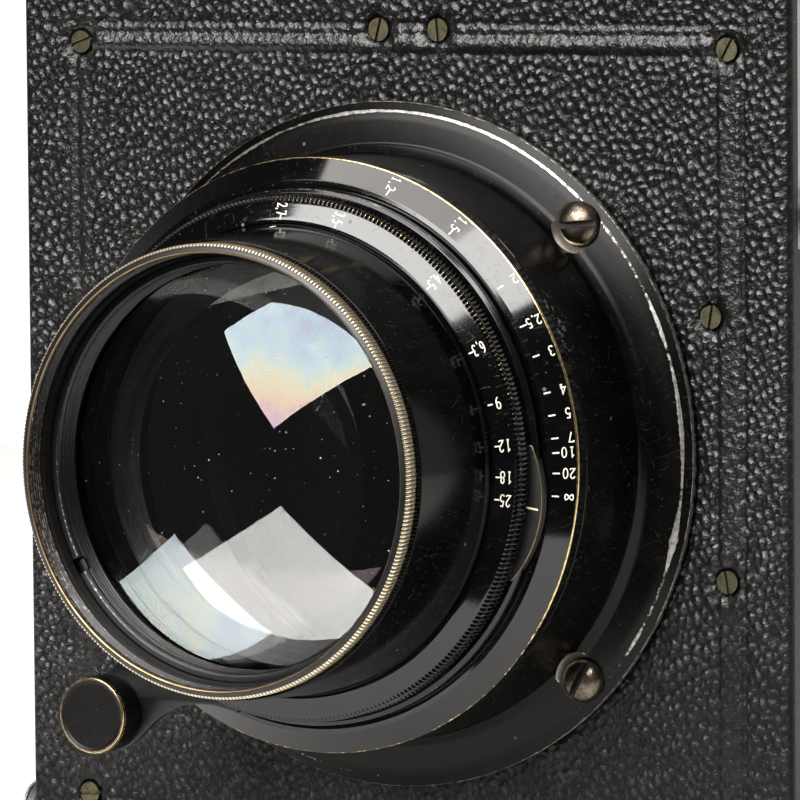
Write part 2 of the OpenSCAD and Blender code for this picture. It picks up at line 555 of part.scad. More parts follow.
// ---------- struts ----------
module arm_plate(t, hole_mid, hole_end) {
  // a flat bar along local y with round ends, in the y-z plane
  rotate([0, 90, 0]) rotate([0, 0, 90]) linear_extrude(t) difference() {
    union() {
      translate([0, -3]) square([strut_l, 6]);
      circle(r = 4, $fn = 48);
      translate([strut_l, 0]) circle(r = 3.4, $fn = 48);
      translate([strut_l / 2, 0]) circle(r = 4.6, $fn = 48);
    }
    circle(r = 1.56, $fn = 48);
    if (hole_mid > 0) translate([strut_l / 2, 0]) circle(r = hole_mid, $fn = 48);
    if (hole_end > 0) translate([strut_l, 0]) circle(r = hole_end, $fn = 48);
  }
}
// direction of a rear strut: forward and up; of a front strut: back and up
module rear_place() { translate([0, strut_y, strut_z]) rotate([180 - th_open, 0, 0]) children(); }
module front_place() { translate([0, strutf_y, strut_z]) rotate([th_open, 0, 0]) children(); }
module rear_struts() {
  color("#33363a") {
    rear_place() { translate([ay0, 0, 0]) arm_plate(ay1 - ay0, 1.0, 0); translate([-ay1, 0, 0]) arm_plate(ay1 - ay0, 1.0, 0); }
    // end studs that run in the slots of the front board
    rear_place() both() xcyl(stud_r, hw - 3, ay0 + e, strut_l, 0);
    rear_place() both() xcyl(2.6, ay1 - e, ay1 + 0.9, strut_l, 0);
  }
}
module front_struts() {
  color("#33363a") {
    front_place() { translate([by0, 0, 0]) arm_plate(by1 - by0, 1.9, 0); translate([-by1, 0, 0]) arm_plate(by1 - by0, 1.9, 0); }
    front_place() both() xcyl(stud_r, hw - 2.8, by0 + e, strut_l, 0);
    front_place() both() xcyl(2.6, by1 - e, by1 + 0.9, strut_l, 0);
  }
}
module strut_rivets() {
  color("silver") rear_place() both() {
    xcyl(0.98, ay0, by1 + 0.3 + e, strut_l / 2, 0);
    translate([by1 + 0.25, strut_l / 2, 0]) rotate([0, 90, 0]) rotate_extrude($fn = 48)
      polygon([[0, 0], [3.6, 0], [3.6, 0.3], [2.8, 0.75], [1.6, 1.0], [0, 1.1]]);
  }
}

// ---------- plate back ----------
module plate_back() {
  color("#202020") difference() {
    box(-shell_hw, shell_hw, body_y1, back_y, 1, board_h - 2);
    box(-45.5, 45.5, body_y1 - 1, back_y + 1, axis_h - 33, axis_h + 33);
    box(-shell_hw + 1.5, shell_hw + 1, 28, 33.8, axis_h - 42.3, axis_h + 42.3);
    box(-shell_hw + 4, shell_hw + 1, 33, back_y + 1, axis_h - 38, axis_h + 38);
    // screw wells in the back rails
    for (x = [-44, 0, 44], z = [6, board_h - 7]) ycyl(1.6, back_y - 0.8, back_y + 1, x, z);
  }
}
module plate_holder() {
  color("#1d1d1f") difference() {
    union() {
      box(-52.3, 56, 28.3, 33.4, axis_h - 42, axis_h + 42);
      // pressed ridges on the rear cover
      for (k = [0, 1]) difference() {
        box(-45 + 8 * k, 45 - 8 * k, 33.3, 34, axis_h - 34 + 8 * k, axis_h + 34 - 8 * k);
        box(-43.5 + 8 * k, 43.5 - 8 * k, 33, 36, axis_h - 32.5 + 8 * k, axis_h + 32.5 - 8 * k);
      }
    }
    box(-44, 44, 27, 29.1, axis_h - 31.5, axis_h + 31.5);
    box(-49.3, 57, 29, 30.3, axis_h - 34.3, axis_h + 34.3);
    box(-45.5, 45.5, 30.2, 32.2, axis_h - 33, axis_h + 33);
    box(54.2, 57, 27, 29.1, axis_h - 30, axis_h + 30);
  }
  // the glass plate
  color("#777") box(-45.3, 45.3, film_y, 31.9, axis_h - 32.8, axis_h + 32.8);
}
module dark_slide() {
  color("#111") {
    box(-49, 60, 29.2, 30.1, axis_h - 34, axis_h + 34);
    box(59.9, 61.5, 28.6, 30.7, axis_h - 20, axis_h + 20);
  }
}
module carry_strap() {
  // leather strap on the left side, bowed out between its two bolted ends
  color("#2a201a") difference() {
    intersection() {
      translate([-12, 13, 55]) rotate([90, 0, 0]) translate([0, 0, -6]) difference() {
        cylinder(r = 54, h = 12, $fn = 96);
        translate([0, 0, -1]) cylinder(r = 51.9, h = 14, $fn = 96);
      }
      box(-70, -hw - 0.2, 0, 25, 26.9, 83.1);
    }
  }
  color("#2a201a") for (z = [20.6, 83]) box(-hw - 2.6, -shell_hw - 0.02, 7, 19, z, z + 6.4);
  color("silver") for (z = [24, 86]) {
    xcyl(1.25, -hw - 2.7, -50, 13, z);
    translate([-hw - 2.6, 13, z]) rotate([0, -90, 0]) rotate_extrude($fn = 48) polygon([[0, 0], [3, 0], [2.8, 0.5], [1.8, 1], [0, 1.2]]);
  }
}

front_board();
front_leather();
board_screws();
lens_flange();
flange_screws();
distance_ring();
lens_lock_ring();
focus_ring();
focus_knob();
aperture_ring();
lens_barrel();
front_rim();
front_retaining_ring();
front_element();
second_element();
iris_blades();
third_element();
rear_element();
rear_cell();
board_slot_guides();
board_strut_pivots();
front_bellows_frame();
bellows();
screen_frame();
ground_glass();
screen_retainer();
hood_hinge_lugs();
hood_left();
hood_right();
hood_front();
hood_rear();
body_shell();
body_leather();
rear_bellows_frame();
body_slot_guides();
body_strut_pivots();
top_rails();
tripod_bush();
shutter_gate();
shutter_curtain();
upper_roller();
roller_pinion();
lower_roller();
shaft_bushes();
winding_gear();
winding_knob();
speed_dial();
tension_knob();
release_button();
mirror_pin();
mirror_carrier();
mirror_frame();
mirror_glass();
rear_struts();
front_struts();
strut_rivets();
plate_back();
plate_holder();
dark_slide();
carry_strap();
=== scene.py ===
import math
import random

import bpy
import numpy as np
from mathutils import Matrix, Vector

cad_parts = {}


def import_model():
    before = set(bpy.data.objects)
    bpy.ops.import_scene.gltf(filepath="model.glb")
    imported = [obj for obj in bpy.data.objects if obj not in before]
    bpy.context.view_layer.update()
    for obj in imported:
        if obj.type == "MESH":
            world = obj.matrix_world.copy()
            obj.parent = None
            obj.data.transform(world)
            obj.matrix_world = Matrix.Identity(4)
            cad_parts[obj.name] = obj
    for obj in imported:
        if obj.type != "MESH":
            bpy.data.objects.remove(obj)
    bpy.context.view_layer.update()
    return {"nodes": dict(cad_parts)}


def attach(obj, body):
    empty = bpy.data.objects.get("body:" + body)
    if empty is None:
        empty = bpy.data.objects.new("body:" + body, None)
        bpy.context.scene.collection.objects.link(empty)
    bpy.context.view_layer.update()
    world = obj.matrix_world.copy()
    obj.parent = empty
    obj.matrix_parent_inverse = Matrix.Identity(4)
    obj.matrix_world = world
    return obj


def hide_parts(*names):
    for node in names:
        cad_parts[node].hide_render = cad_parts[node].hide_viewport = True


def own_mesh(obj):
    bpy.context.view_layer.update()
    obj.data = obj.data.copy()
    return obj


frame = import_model()
MM = 0.001
FRONT, AXIS = -81.0, 55.0  # leather face of the board and height of the lens axis, mm
SCENE = bpy.context.scene
rnd = random.Random(7)


# ------------------------------------------------------------------ camera
def camera():
    cam = bpy.data.cameras.new("camera")
    ob = bpy.data.objects.new("camera", cam)
    SCENE.collection.objects.link(ob)
    fwd = Vector((-0.5102, 0.8563, -0.0807)).normalized()
    right = Vector((0.8594, 0.5113, -0.008))
    right = (right - right.dot(fwd) * fwd).normalized()
    up = right.cross(fwd)
    m = Matrix((right, up, -fwd)).transposed().to_4x4()
    m.translation = Vector((0.42284, -0.78976, 0.12688))
    ob.matrix_world = m
    cam.sensor_width = 36.0
    cam.lens = 302.92
    cam.shift_x, cam.shift_y = -0.0006, 0.0033
    cam.clip_start, cam.clip_end = 0.02, 30.0
    SCENE.camera = ob


# ------------------------------------------------------------------ node helper
class Mat:
    """A node material round one Principled shader; coordinates are millimetres of the row frame."""

    def __init__(s, name, **values):
        s.m = bpy.data.materials.new(name)
        s.m.use_nodes = True
        s.t = s.m.node_tree
        s.t.nodes.clear()
        out = s.t.nodes.new("ShaderNodeOutputMaterial")
        s.b = s.t.nodes.new("ShaderNodeBsdfPrincipled")
        s.t.links.new(s.b.outputs[0], out.inputs["Surface"])
        for k, v in values.items():
            s.put(k.replace("_", " "), v)
        tc = s.t.nodes.new("ShaderNodeTexCoord")
        sc = s.t.nodes.new("ShaderNodeVectorMath")
        sc.operation = "SCALE"
        s.t.links.new(tc.outputs["Object"], sc.inputs[0])
        sc.inputs["Scale"].default_value = 1000.0
        s.p = sc.outputs[0]
        s._polar = None

    def put(s, name, v):
        sock = s.b.inputs[name]
        s.into(sock, v)

    def into(s, sock, v):
        if isinstance(v, bpy.types.NodeSocket):
            s.t.links.new(v, sock)
        elif isinstance(v, (tuple, list)) and sock.type == "RGBA":
            sock.default_value = (*v[:3], 1.0)
        else:
            sock.default_value = v

    def math(s, op, a, b=0.0, c=None, clamp=False):
        n = s.t.nodes.new("ShaderNodeMath")
        n.operation = op
        n.use_clamp = clamp
        s.into(n.inputs[0], a)
        s.into(n.inputs[1], b)
        if c is not None:
            s.into(n.inputs[2], c)
        return n.outputs[0]

    def step(s, x, lo, hi, a=0.0, b=1.0):
        n = s.t.nodes.new("ShaderNodeMapRange")
        n.interpolation_type = "SMOOTHSTEP"
        s.into(n.inputs["Value"], x)
        n.inputs["From Min"].default_value = lo
        n.inputs["From Max"].default_value = hi
        n.inputs["To Min"].default_value = a
        n.inputs["To Max"].default_value = b
        return n.outputs[0]

    def vmul(s, v, k):
        n = s.t.nodes.new("ShaderNodeVectorMath")
        n.operation = "MULTIPLY"
        s.into(n.inputs[0], v)
        n.inputs[1].default_value = k
        return n.outputs[0]

    def vadd(s, a, b):
        n = s.t.nodes.new("ShaderNodeVectorMath")
        n.operation = "ADD"
        s.into(n.inputs[0], a)
        s.into(n.inputs[1], b)
        return n.outputs[0]

    def rot(s, v, angles):
        n = s.t.nodes.new("ShaderNodeMapping")
        s.into(n.inputs["Vector"], v)
        n.inputs["Rotation"].default_value = angles
        return n.outputs[0]

    def xyz(s, v):
        n = s.t.nodes.new("ShaderNodeSeparateXYZ")
        s.into(n.inputs[0], v)
        return n.outputs

    def join(s, x, y, z):
        n = s.t.nodes.new("ShaderNodeCombineXYZ")
        for i, v in enumerate((x, y, z)):
            s.into(n.inputs[i], v)
        return n.outputs[0]

    def polar(s):
        """(radius from the lens axis, angle in radians, depth in front of the board)."""
        if s._polar is None:
            x, y, z = s.xyz(s.p)
            zz = s.math("SUBTRACT", z, AXIS)
            r = s.math("SQRT", s.math("ADD", s.math("MULTIPLY", x, x), s.math("MULTIPLY", zz, zz)))
            a = s.math("ARCTAN2", zz, x)
            d = s.math("SUBTRACT", FRONT, y)
            s._polar = (r, a, d)
        return s._polar

    def turned(s, along, r_scale, d_scale):
        """A vector for marks that run round the lens axis."""
        r, a, d = s.polar()
        return s.join(s.math("MULTIPLY", a, along), s.math("MULTIPLY", r, r_scale), s.math("MULTIPLY", d, d_scale))

    def noise(s, scale, detail=2.0, rough=0.5, vec=None, dist=0.0):
        n = s.t.nodes.new("ShaderNodeTexNoise")
        s.into(n.inputs["Vector"], s.p if vec is None else vec)
        n.inputs["Scale"].default_value = scale
        n.inputs["Detail"].default_value = detail
        n.inputs["Roughness"].default_value = rough
        n.inputs["Distortion"].default_value = dist
        return n.outputs[0]

    def noise_color(s, scale, vec=None):
        n = s.t.nodes.new("ShaderNodeTexNoise")
        s.into(n.inputs["Vector"], s.p if vec is None else vec)
        n.inputs["Scale"].default_value = scale
        return n.outputs[1]

    def cells(s, scale, out="Distance", feature="F1", vec=None, rand=1.0, smooth=None):
        n = s.t.nodes.new("ShaderNodeTexVoronoi")
        n.feature = feature
        s.into(n.inputs["Vector"], s.p if vec is None else vec)
        n.inputs["Scale"].default_value = scale
        n.inputs["Randomness"].default_value = rand
        if smooth is not None and "Smoothness" in n.inputs:
            n.inputs["Smoothness"].default_value = smooth
        return n.outputs[out]

    def attr(s, name):
        n = s.t.nodes.new("ShaderNodeAttribute")
        n.attribute_name = name
        return n.outputs["Fac"]

    def mixc(s, f, a, b):
        n = s.t.nodes.new("ShaderNodeMix")
        n.data_type = "RGBA"
        s.into(n.inputs[0], f)
        for i, v in ((6, a), (7, b)):
            s.into(n.inputs[i], v)
        return n.outputs[2]

    def mixf(s, f, a, b):
        n = s.t.nodes.new("ShaderNodeMix")
        n.data_type = "FLOAT"
        s.into(n.inputs[0], f)
        s.into(n.inputs[2], a)
        s.into(n.inputs[3], b)
        return n.outputs[0]

    def bump(s, height, strength=1.0, distance=0.0001, normal=None):
        n = s.t.nodes.new("ShaderNodeBump")
        n.inputs["Strength"].default_value = strength
        n.inputs["Distance"].default_value = distance
        s.into(n.inputs["Height"], height)
        if normal is not None:
            s.t.links.new(normal, n.inputs["Normal"])
        return n.outputs[0]

    def specks(s, scale, size, share):
        """Small scattered dots: 1 on a dot."""
        d = s.cells(scale)
        c = s.cells(scale, out="Color")
        r = s.xyz(c)[0]
        near = s.step(d, size * 0.5, size, 1.0, 0.0)
        return s.math("MULTIPLY", near, s.math("LESS_THAN", r, share))

    def scratches(s, scale, stretch, angles, width, share):
        v = s.vmul(s.rot(s.p, angles), stretch)
        e = s.cells(scale, feature="DISTANCE_TO_EDGE", vec=v)
        line = s.step(e, width * 0.4, width, 1.0, 0.0)
        keep = s.step(s.noise(scale * 1.7, 1.0, vec=v), share, share + 0.04)
        return s.math("MULTIPLY", line, keep)


# ------------------------------------------------------------------ materials
def lacquer(name, base=(0.0008, 0.0008, 0.0009), rough=0.09, wear_to=(0.66, 0.47, 0.22), wear_rough=0.28, dust=0.25,
            scratch=0.6, bump=0.00002, lap=None, coat_ior=1.55, spec=0.5):
    """Gloss black enamel on turned brass: fine turning lines, specks, dust, scratches and worn edges."""
    m = Mat(name, IOR=coat_ior, Specular_IOR_Level=spec)
    wear = m.attr("wear")
    brk = m.noise(1.3, 4.0, 0.65)
    fine = m.noise(7.0, 3.0, 0.6)
    mask = m.step(m.math("ADD", wear, m.math("MULTIPLY", m.math("SUBTRACT", m.mixf(0.35, brk, fine), 0.5), 1.5)), 0.62, 0.74)
    sc1 = m.scratches(0.32, (1.0, 1.0, 7.0), (0.3, 0.5, 0.9), 0.012, 0.60)
    sc2 = m.scratches(0.27, (6.0, 1.0, 1.0), (0.9, 0.2, 0.4), 0.010, 0.62)
    sc = m.math("MULTIPLY", m.math("MAXIMUM", sc1, sc2), scratch)
    spk = m.specks(1.05, 0.085, 0.16)
    spk2 = m.specks(0.34, 0.10, 0.14)
    dots = m.math("MAXIMUM", spk, spk2)
    haze = m.noise(0.16, 3.0, 0.6)
    col = m.mixc(m.step(haze, 0.45, 0.8), base, tuple(min(1.0, c * 2.6 + 0.0004) for c in base))
    col = m.mixc(m.math("MULTIPLY", sc, 0.25), col, (0.10, 0.095, 0.085))
    col = m.mixc(m.math("MULTIPLY", dots, 0.6), col, (0.13, 0.125, 0.115))
    tarnish = m.mixc(m.step(m.noise(2.4, 3.0), 0.4, 0.7), wear_to, tuple(c * 0.45 for c in wear_to))
    m.put("Base Color", m.mixc(mask, col, tarnish))
    m.put("Metallic", mask)
    r = m.math("ADD", rough, m.math("MULTIPLY", haze, 0.07))
    r = m.math("ADD", r, m.math("MULTIPLY", m.math("MAXIMUM", dots, sc), dust + 0.2))
    m.put("Roughness", m.mixf(mask, r, wear_rough))
    if lap is None:
        lines = m.noise(1.0, 2.0, 0.5, vec=m.turned(1.4, 5.0, 5.0))
    else:
        lines = m.noise(lap, 2.0, 0.5)
    h = m.math("ADD", m.math("MULTIPLY", lines, 0.06), m.math("MULTIPLY", m.noise(2.2, 2.0), 0.04))
    h = m.math("SUBTRACT", h, m.math("MULTIPLY", sc, 0.3))
    h = m.math("SUBTRACT", h, m.math("MULTIPLY", mask, 0.8))
    h = m.math("ADD", h, m.math("MULTIPLY", dots, 0.5))
    m.put("Normal", m.bump(h, 1.0, bump))
    return m.m


def metal(name, base, dark, rough=0.3, patch=0.8, grime=0.45, bump=0.00004, line=None, gap=False):
    """Worn bare metal: tarnish patches, dirt in fine pits, brushed or turned lines; with gap, the gaps between milled
    teeth are painted near-black as painted shade.
    """
    m = Mat(name)
    n1 = m.noise(patch, 4.0, 0.6)
    n2 = m.noise(5.5, 3.0, 0.6)
    mask = m.step(m.mixf(0.35, n1, n2), 0.42, 0.66, 0.0, grime)
    pit_dirt_and_gap_shade = m.specks(2.1, 0.16, 0.3)
    col = m.mixc(mask, base, dark)
    col = m.mixc(m.math("MULTIPLY", pit_dirt_and_gap_shade, 0.6), col, tuple(c * 0.4 for c in dark))
    # With gap, the recesses between milled teeth are painted near-black and lose their metal: painted shade, merged
    # with the pit dirt.
    if gap:
        g = m.attr("gap")
        col = m.mixc(g, col, (0.012, 0.008, 0.005))
        pit_dirt_and_gap_shade = m.math("MAXIMUM", pit_dirt_and_gap_shade, g)
    m.put("Base Color", col)
    m.put("Metallic", m.math("SUBTRACT", 1.0, m.math("MULTIPLY", pit_dirt_and_gap_shade, 0.9 if gap else 0.5)))
    m.put("Roughness", m.math("ADD", rough, m.math("MULTIPLY", m.math("ADD", mask, pit_dirt_and_gap_shade), 0.22)))
    if line == "turned":
        v = m.turned(0.8, 9.0, 9.0)
    elif line == "x":
        v = m.vmul(m.p, (0.25, 9.0, 9.0))
    else:
        v = m.vmul(m.p, (5.0, 5.0, 0.5))
    h = m.math("ADD", m.math("MULTIPLY", m.noise(1.0, 2.0, 0.5, vec=v), 0.5), m.math("MULTIPLY", n2, 0.4))
    m.put("Normal", m.bump(h, 1.0, bump))
    return m.m


def satin(name, base, rough=0.42, metallic=0.0, line="turned", scale=7.0, bump=0.00005, worn=(0.5, 0.46, 0.4), wear=0.0):
    """Matt or satin black finish with turning marks, dust and rubbed edges."""
    m = Mat(name)
    w = m.attr("wear")
    n = m.noise(2.0, 4.0, 0.6)
    mask = m.step(m.math("ADD", m.math("MULTIPLY", w, wear), m.math("MULTIPLY", m.math("SUBTRACT", n, 0.5), 1.2)), 0.6, 0.75)
    dirt = m.specks(1.6, 0.11, 0.3)
    col = m.mixc(m.step(m.noise(0.5, 3.0), 0.35, 0.75), base, tuple(min(1, c * 1.9 + 0.0006) for c in base))
    col = m.mixc(m.math("MULTIPLY", dirt, 0.4), col, (0.09, 0.085, 0.08))
    m.put("Base Color", m.mixc(mask, col, worn))
    m.put("Metallic", m.mixf(mask, metallic, 1.0))
    m.put("Roughness", m.math("ADD", m.math("ADD", rough, m.math("MULTIPLY", m.noise(3.0, 2.0), 0.12)), m.math("MULTIPLY", dirt, 0.2)))
    v = m.turned(1.0, scale, scale) if line == "turned" else m.vmul(m.p, (scale, scale, 1.0))
    m.put("Normal", m.bump(m.math("ADD", m.noise(1.0, 2.0, 0.5, vec=v), m.math("MULTIPLY", n, 0.4)), 1.0, bump))
    return m.m


def leather(name, base=(0.0022, 0.0021, 0.002), pebble=0.0, rough=0.27, grain=0.00006, spec=0.42):
    """Black goat leather: bright rubbed tops, dull hollows, fine hair-cell grain; with the vertex top attribute the
    hollows also get a lower specular level, a painted crease shade.
    """
    m = Mat(name, Specular_IOR_Level=spec)
    fine = m.noise(5.0, 3.0, 0.6)
    cell = m.cells(3.4)
    big = m.noise(0.12, 3.0, 0.6)
    h = m.math("ADD", m.math("MULTIPLY", fine, 0.5), m.math("MULTIPLY", cell, 0.5))
    col = m.mixc(m.step(big, 0.35, 0.7), base, tuple(c * 1.7 for c in base))
    lint = m.specks(0.8, 0.05, 0.2)
    if pebble:
        warp = m.vadd(m.p, m.vmul(m.noise_color(0.35), (1.6, 1.6, 1.6)))
        c1 = m.cells(0.86, vec=m.vmul(warp, (1.0, 1.0, 0.86)), feature="SMOOTH_F1", smooth=0.25)
        top = m.step(c1, 0.15, 0.75, 1.0, 0.0)
        worn = m.math("MULTIPLY", top, m.step(m.noise(0.5, 3.0), 0.45, 0.7))
        col = m.mixc(m.math("MULTIPLY", worn, 0.4), col, tuple(c * 3.0 for c in base))
        n1 = m.bump(top, 1.0, pebble)
        nrm = m.bump(h, 1.0, grain, n1)
        m.put("Roughness", m.mixf(top, rough + 0.18, m.math("ADD", rough - 0.08, m.math("MULTIPLY", fine, 0.12))))
    else:
        top = m.attr("top")
        worn = m.math("MULTIPLY", top, m.step(m.noise(0.5, 3.0), 0.4, 0.7))
        col = m.mixc(m.math("MULTIPLY", worn, 0.45), col, tuple(c * 3.0 for c in base))
        warp = m.vadd(m.p, m.vmul(m.noise_color(0.9), (0.5, 0.5, 0.5)))
        facet = m.cells(2.1, vec=warp)
        nrm = m.bump(h, 1.0, grain, m.bump(facet, 1.0, 0.000045))
        m.put("Roughness", m.mixf(top, rough + 0.16, m.math("ADD", rough - 0.1, m.math("MULTIPLY", fine, 0.16))))
        # Hollows get a much lower specular level than the tops: painted crease shade.
        m.put("Specular IOR Level", m.mixf(m.step(top, 0.05, 0.6), spec * 0.3, spec * 1.12))
    col = m.mixc(m.math("MULTIPLY", lint, 0.4), col, (0.12, 0.115, 0.11))
    m.put("Base Color", col)
    m.put("Normal", nrm)
    return m.m


def wood(name, base=(0.0045, 0.0038, 0.0034)):
    m = Mat(name, IOR=1.5)
    v = m.vmul(m.p, (0.5, 0.5, 3.0))
    g = m.noise(0.55, 4.0, 0.6, vec=m.vmul(m.p, (0.25, 2.2, 2.2)), dist=0.4)
    pores = m.step(m.noise(1.6, 2.0, 0.6, vec=v), 0.62, 0.7)
    scuff = m.scratches(0.2, (1.0, 5.0, 1.0), (0.4, 0.8, 0.2), 0.02, 0.60)
    col = m.mixc(g, base, tuple(c * 2.2 + 0.002 for c in base))
    col = m.mixc(m.math("MULTIPLY", scuff, 0.5), col, (0.11, 0.075, 0.05))
    m.put("Base Color", col)
    m.put("Roughness", m.math("ADD", 0.34, m.math("MULTIPLY", g, 0.2)))
    h = m.math("SUBTRACT", m.math("MULTIPLY", g, 0.5), m.math("MULTIPLY", pores, 0.6))
    m.put("Normal", m.bump(h, 1.0, 0.00006))
    return m.m


def oiled_wood(name):
    m = Mat(name)
    g = m.noise(0.9, 4.0, 0.6, vec=m.vmul(m.p, (0.12, 2.0, 2.0)), dist=0.6)
    col = m.mixc(g, (0.36, 0.2, 0.09), (0.62, 0.42, 0.22))
    m.put("Base Color", col)
    m.put("Roughness", m.math("ADD", 0.4, m.math("MULTIPLY", g, 0.2)))
    m.put("Normal", m.bump(g, 1.0, 0.00008))
    return m.m


def cloth(name):
    m = Mat(name, Sheen_Weight=0.3)
    x, y, z = m.xyz(m.p)
    a = m.math("SINE", m.math("MULTIPLY", x, 14.0))
    b = m.math("SINE", m.math("MULTIPLY", z, 14.0))
    w = m.math("MULTIPLY", a, b)
    m.put("Base Color", m.mixc(m.step(w, -1.0, 1.0), (0.006, 0.006, 0.0065), (0.022, 0.021, 0.02)))
    m.put("Roughness", m.math("ADD", 0.6, m.math("MULTIPLY", m.noise(0.6), 0.25)))
    m.put("Normal", m.bump(w, 1.0, 0.00006))
    return m.m


def mirror_mat(name):
    m = Mat(name, Metallic=1.0)
    fog = m.noise(0.06, 4.0, 0.6)
    spots = m.specks(0.3, 0.12, 0.4)
    m.put("Base Color", m.mixc(m.step(fog, 0.5, 0.8), (0.86, 0.87, 0.86), (0.62, 0.6, 0.55)))
    m.put("Roughness", m.math("ADD", m.math("ADD", 0.03, m.math("MULTIPLY", fog, 0.06)), m.math("MULTIPLY", spots, 0.3)))
    return m.m


def frosted(name):
    m = Mat(name, Transmission_Weight=1.0, IOR=1.5)
    g = m.noise(6.0, 3.0, 0.7)
    m.put("Base Color", m.mixc(m.noise(0.05, 3.0), (0.86, 0.89, 0.86), (0.93, 0.93, 0.9)))
    m.put("Roughness", m.math("ADD", 0.42, m.math("MULTIPLY", g, 0.2)))
    m.put("Normal", m.bump(g, 1.0, 0.00004))
    return m.m


def glass(name, film=False, tint=(0.985, 0.99, 0.985), ior=1.53):
    m = Mat(name, Transmission_Weight=1.0, IOR=ior)
    dust = m.specks(0.9, 0.07, 0.22)
    dust2 = m.specks(0.42, 0.05, 0.25)
    smear = m.noise(0.22, 4.0, 0.6, vec=m.rot(m.p, (0.2, 0.6, 0.3)), dist=0.8)
    grease = m.scratches(0.12, (1.0, 1.0, 4.0), (0.1, 0.9, 0.3), 0.02, 0.62)
    dirt = m.math("MAXIMUM", dust, dust2)
    m.put("Base Color", m.mixc(smear, tint, tuple(c * 0.96 for c in tint)))
    m.put("Roughness", m.math("ADD", m.math("MULTIPLY", dirt, 0.55), m.math("MULTIPLY", m.step(smear, 0.55, 0.85), 0.012)))
    m.put("Transmission Weight", m.math("SUBTRACT", 1.0, m.math("MULTIPLY", dirt, 0.5)))
    if film:
        n = m.noise(0.075, 3.0, 0.55, dist=0.5)
        fine = m.noise(0.55, 3.0, 0.62)
        x, y, z = m.xyz(m.p)
        tiny = m.noise(1.5, 3.0, 0.6)
        grade = m.step(z, 59.5, 71.0, 262.0, 150.0)
        th = m.math("ADD", m.math("MULTIPLY", n, 130.0), m.math("MULTIPLY", fine, 105.0))
        th = m.math("ADD", m.math("ADD", th, m.math("MULTIPLY", tiny, 48.0)), grade)
        m.put("Thin Film Thickness", m.math("MAXIMUM", m.math("SUBTRACT", th, 141.0), 0.0))
        m.b.inputs["Thin Film IOR"].default_value = 1.53
    m.put("Normal", m.bump(m.math("ADD", m.math("MULTIPLY", grease, -0.2), m.math("MULTIPLY", smear, 0.15)), 1.0, 0.000004))
    return m.m


def ink(name, base=(0.72, 0.69, 0.58)):
    """Old engraving filler: off-white with darker grime."""
    m = Mat(name)
    n = m.noise(2.6, 3.0, 0.6)
    n2 = m.noise(9.0, 2.0, 0.6)
    m.put("Base Color", m.mixc(m.step(m.mixf(0.4, n, n2), 0.5, 0.72), base, tuple(c * 0.55 for c in base)))
    m.put("Roughness", m.math("ADD", 0.45, m.math("MULTIPLY", n, 0.3)))
    m.put("Normal", m.bump(n2, 1.0, 0.00003))
    return m.m


MATS = {}


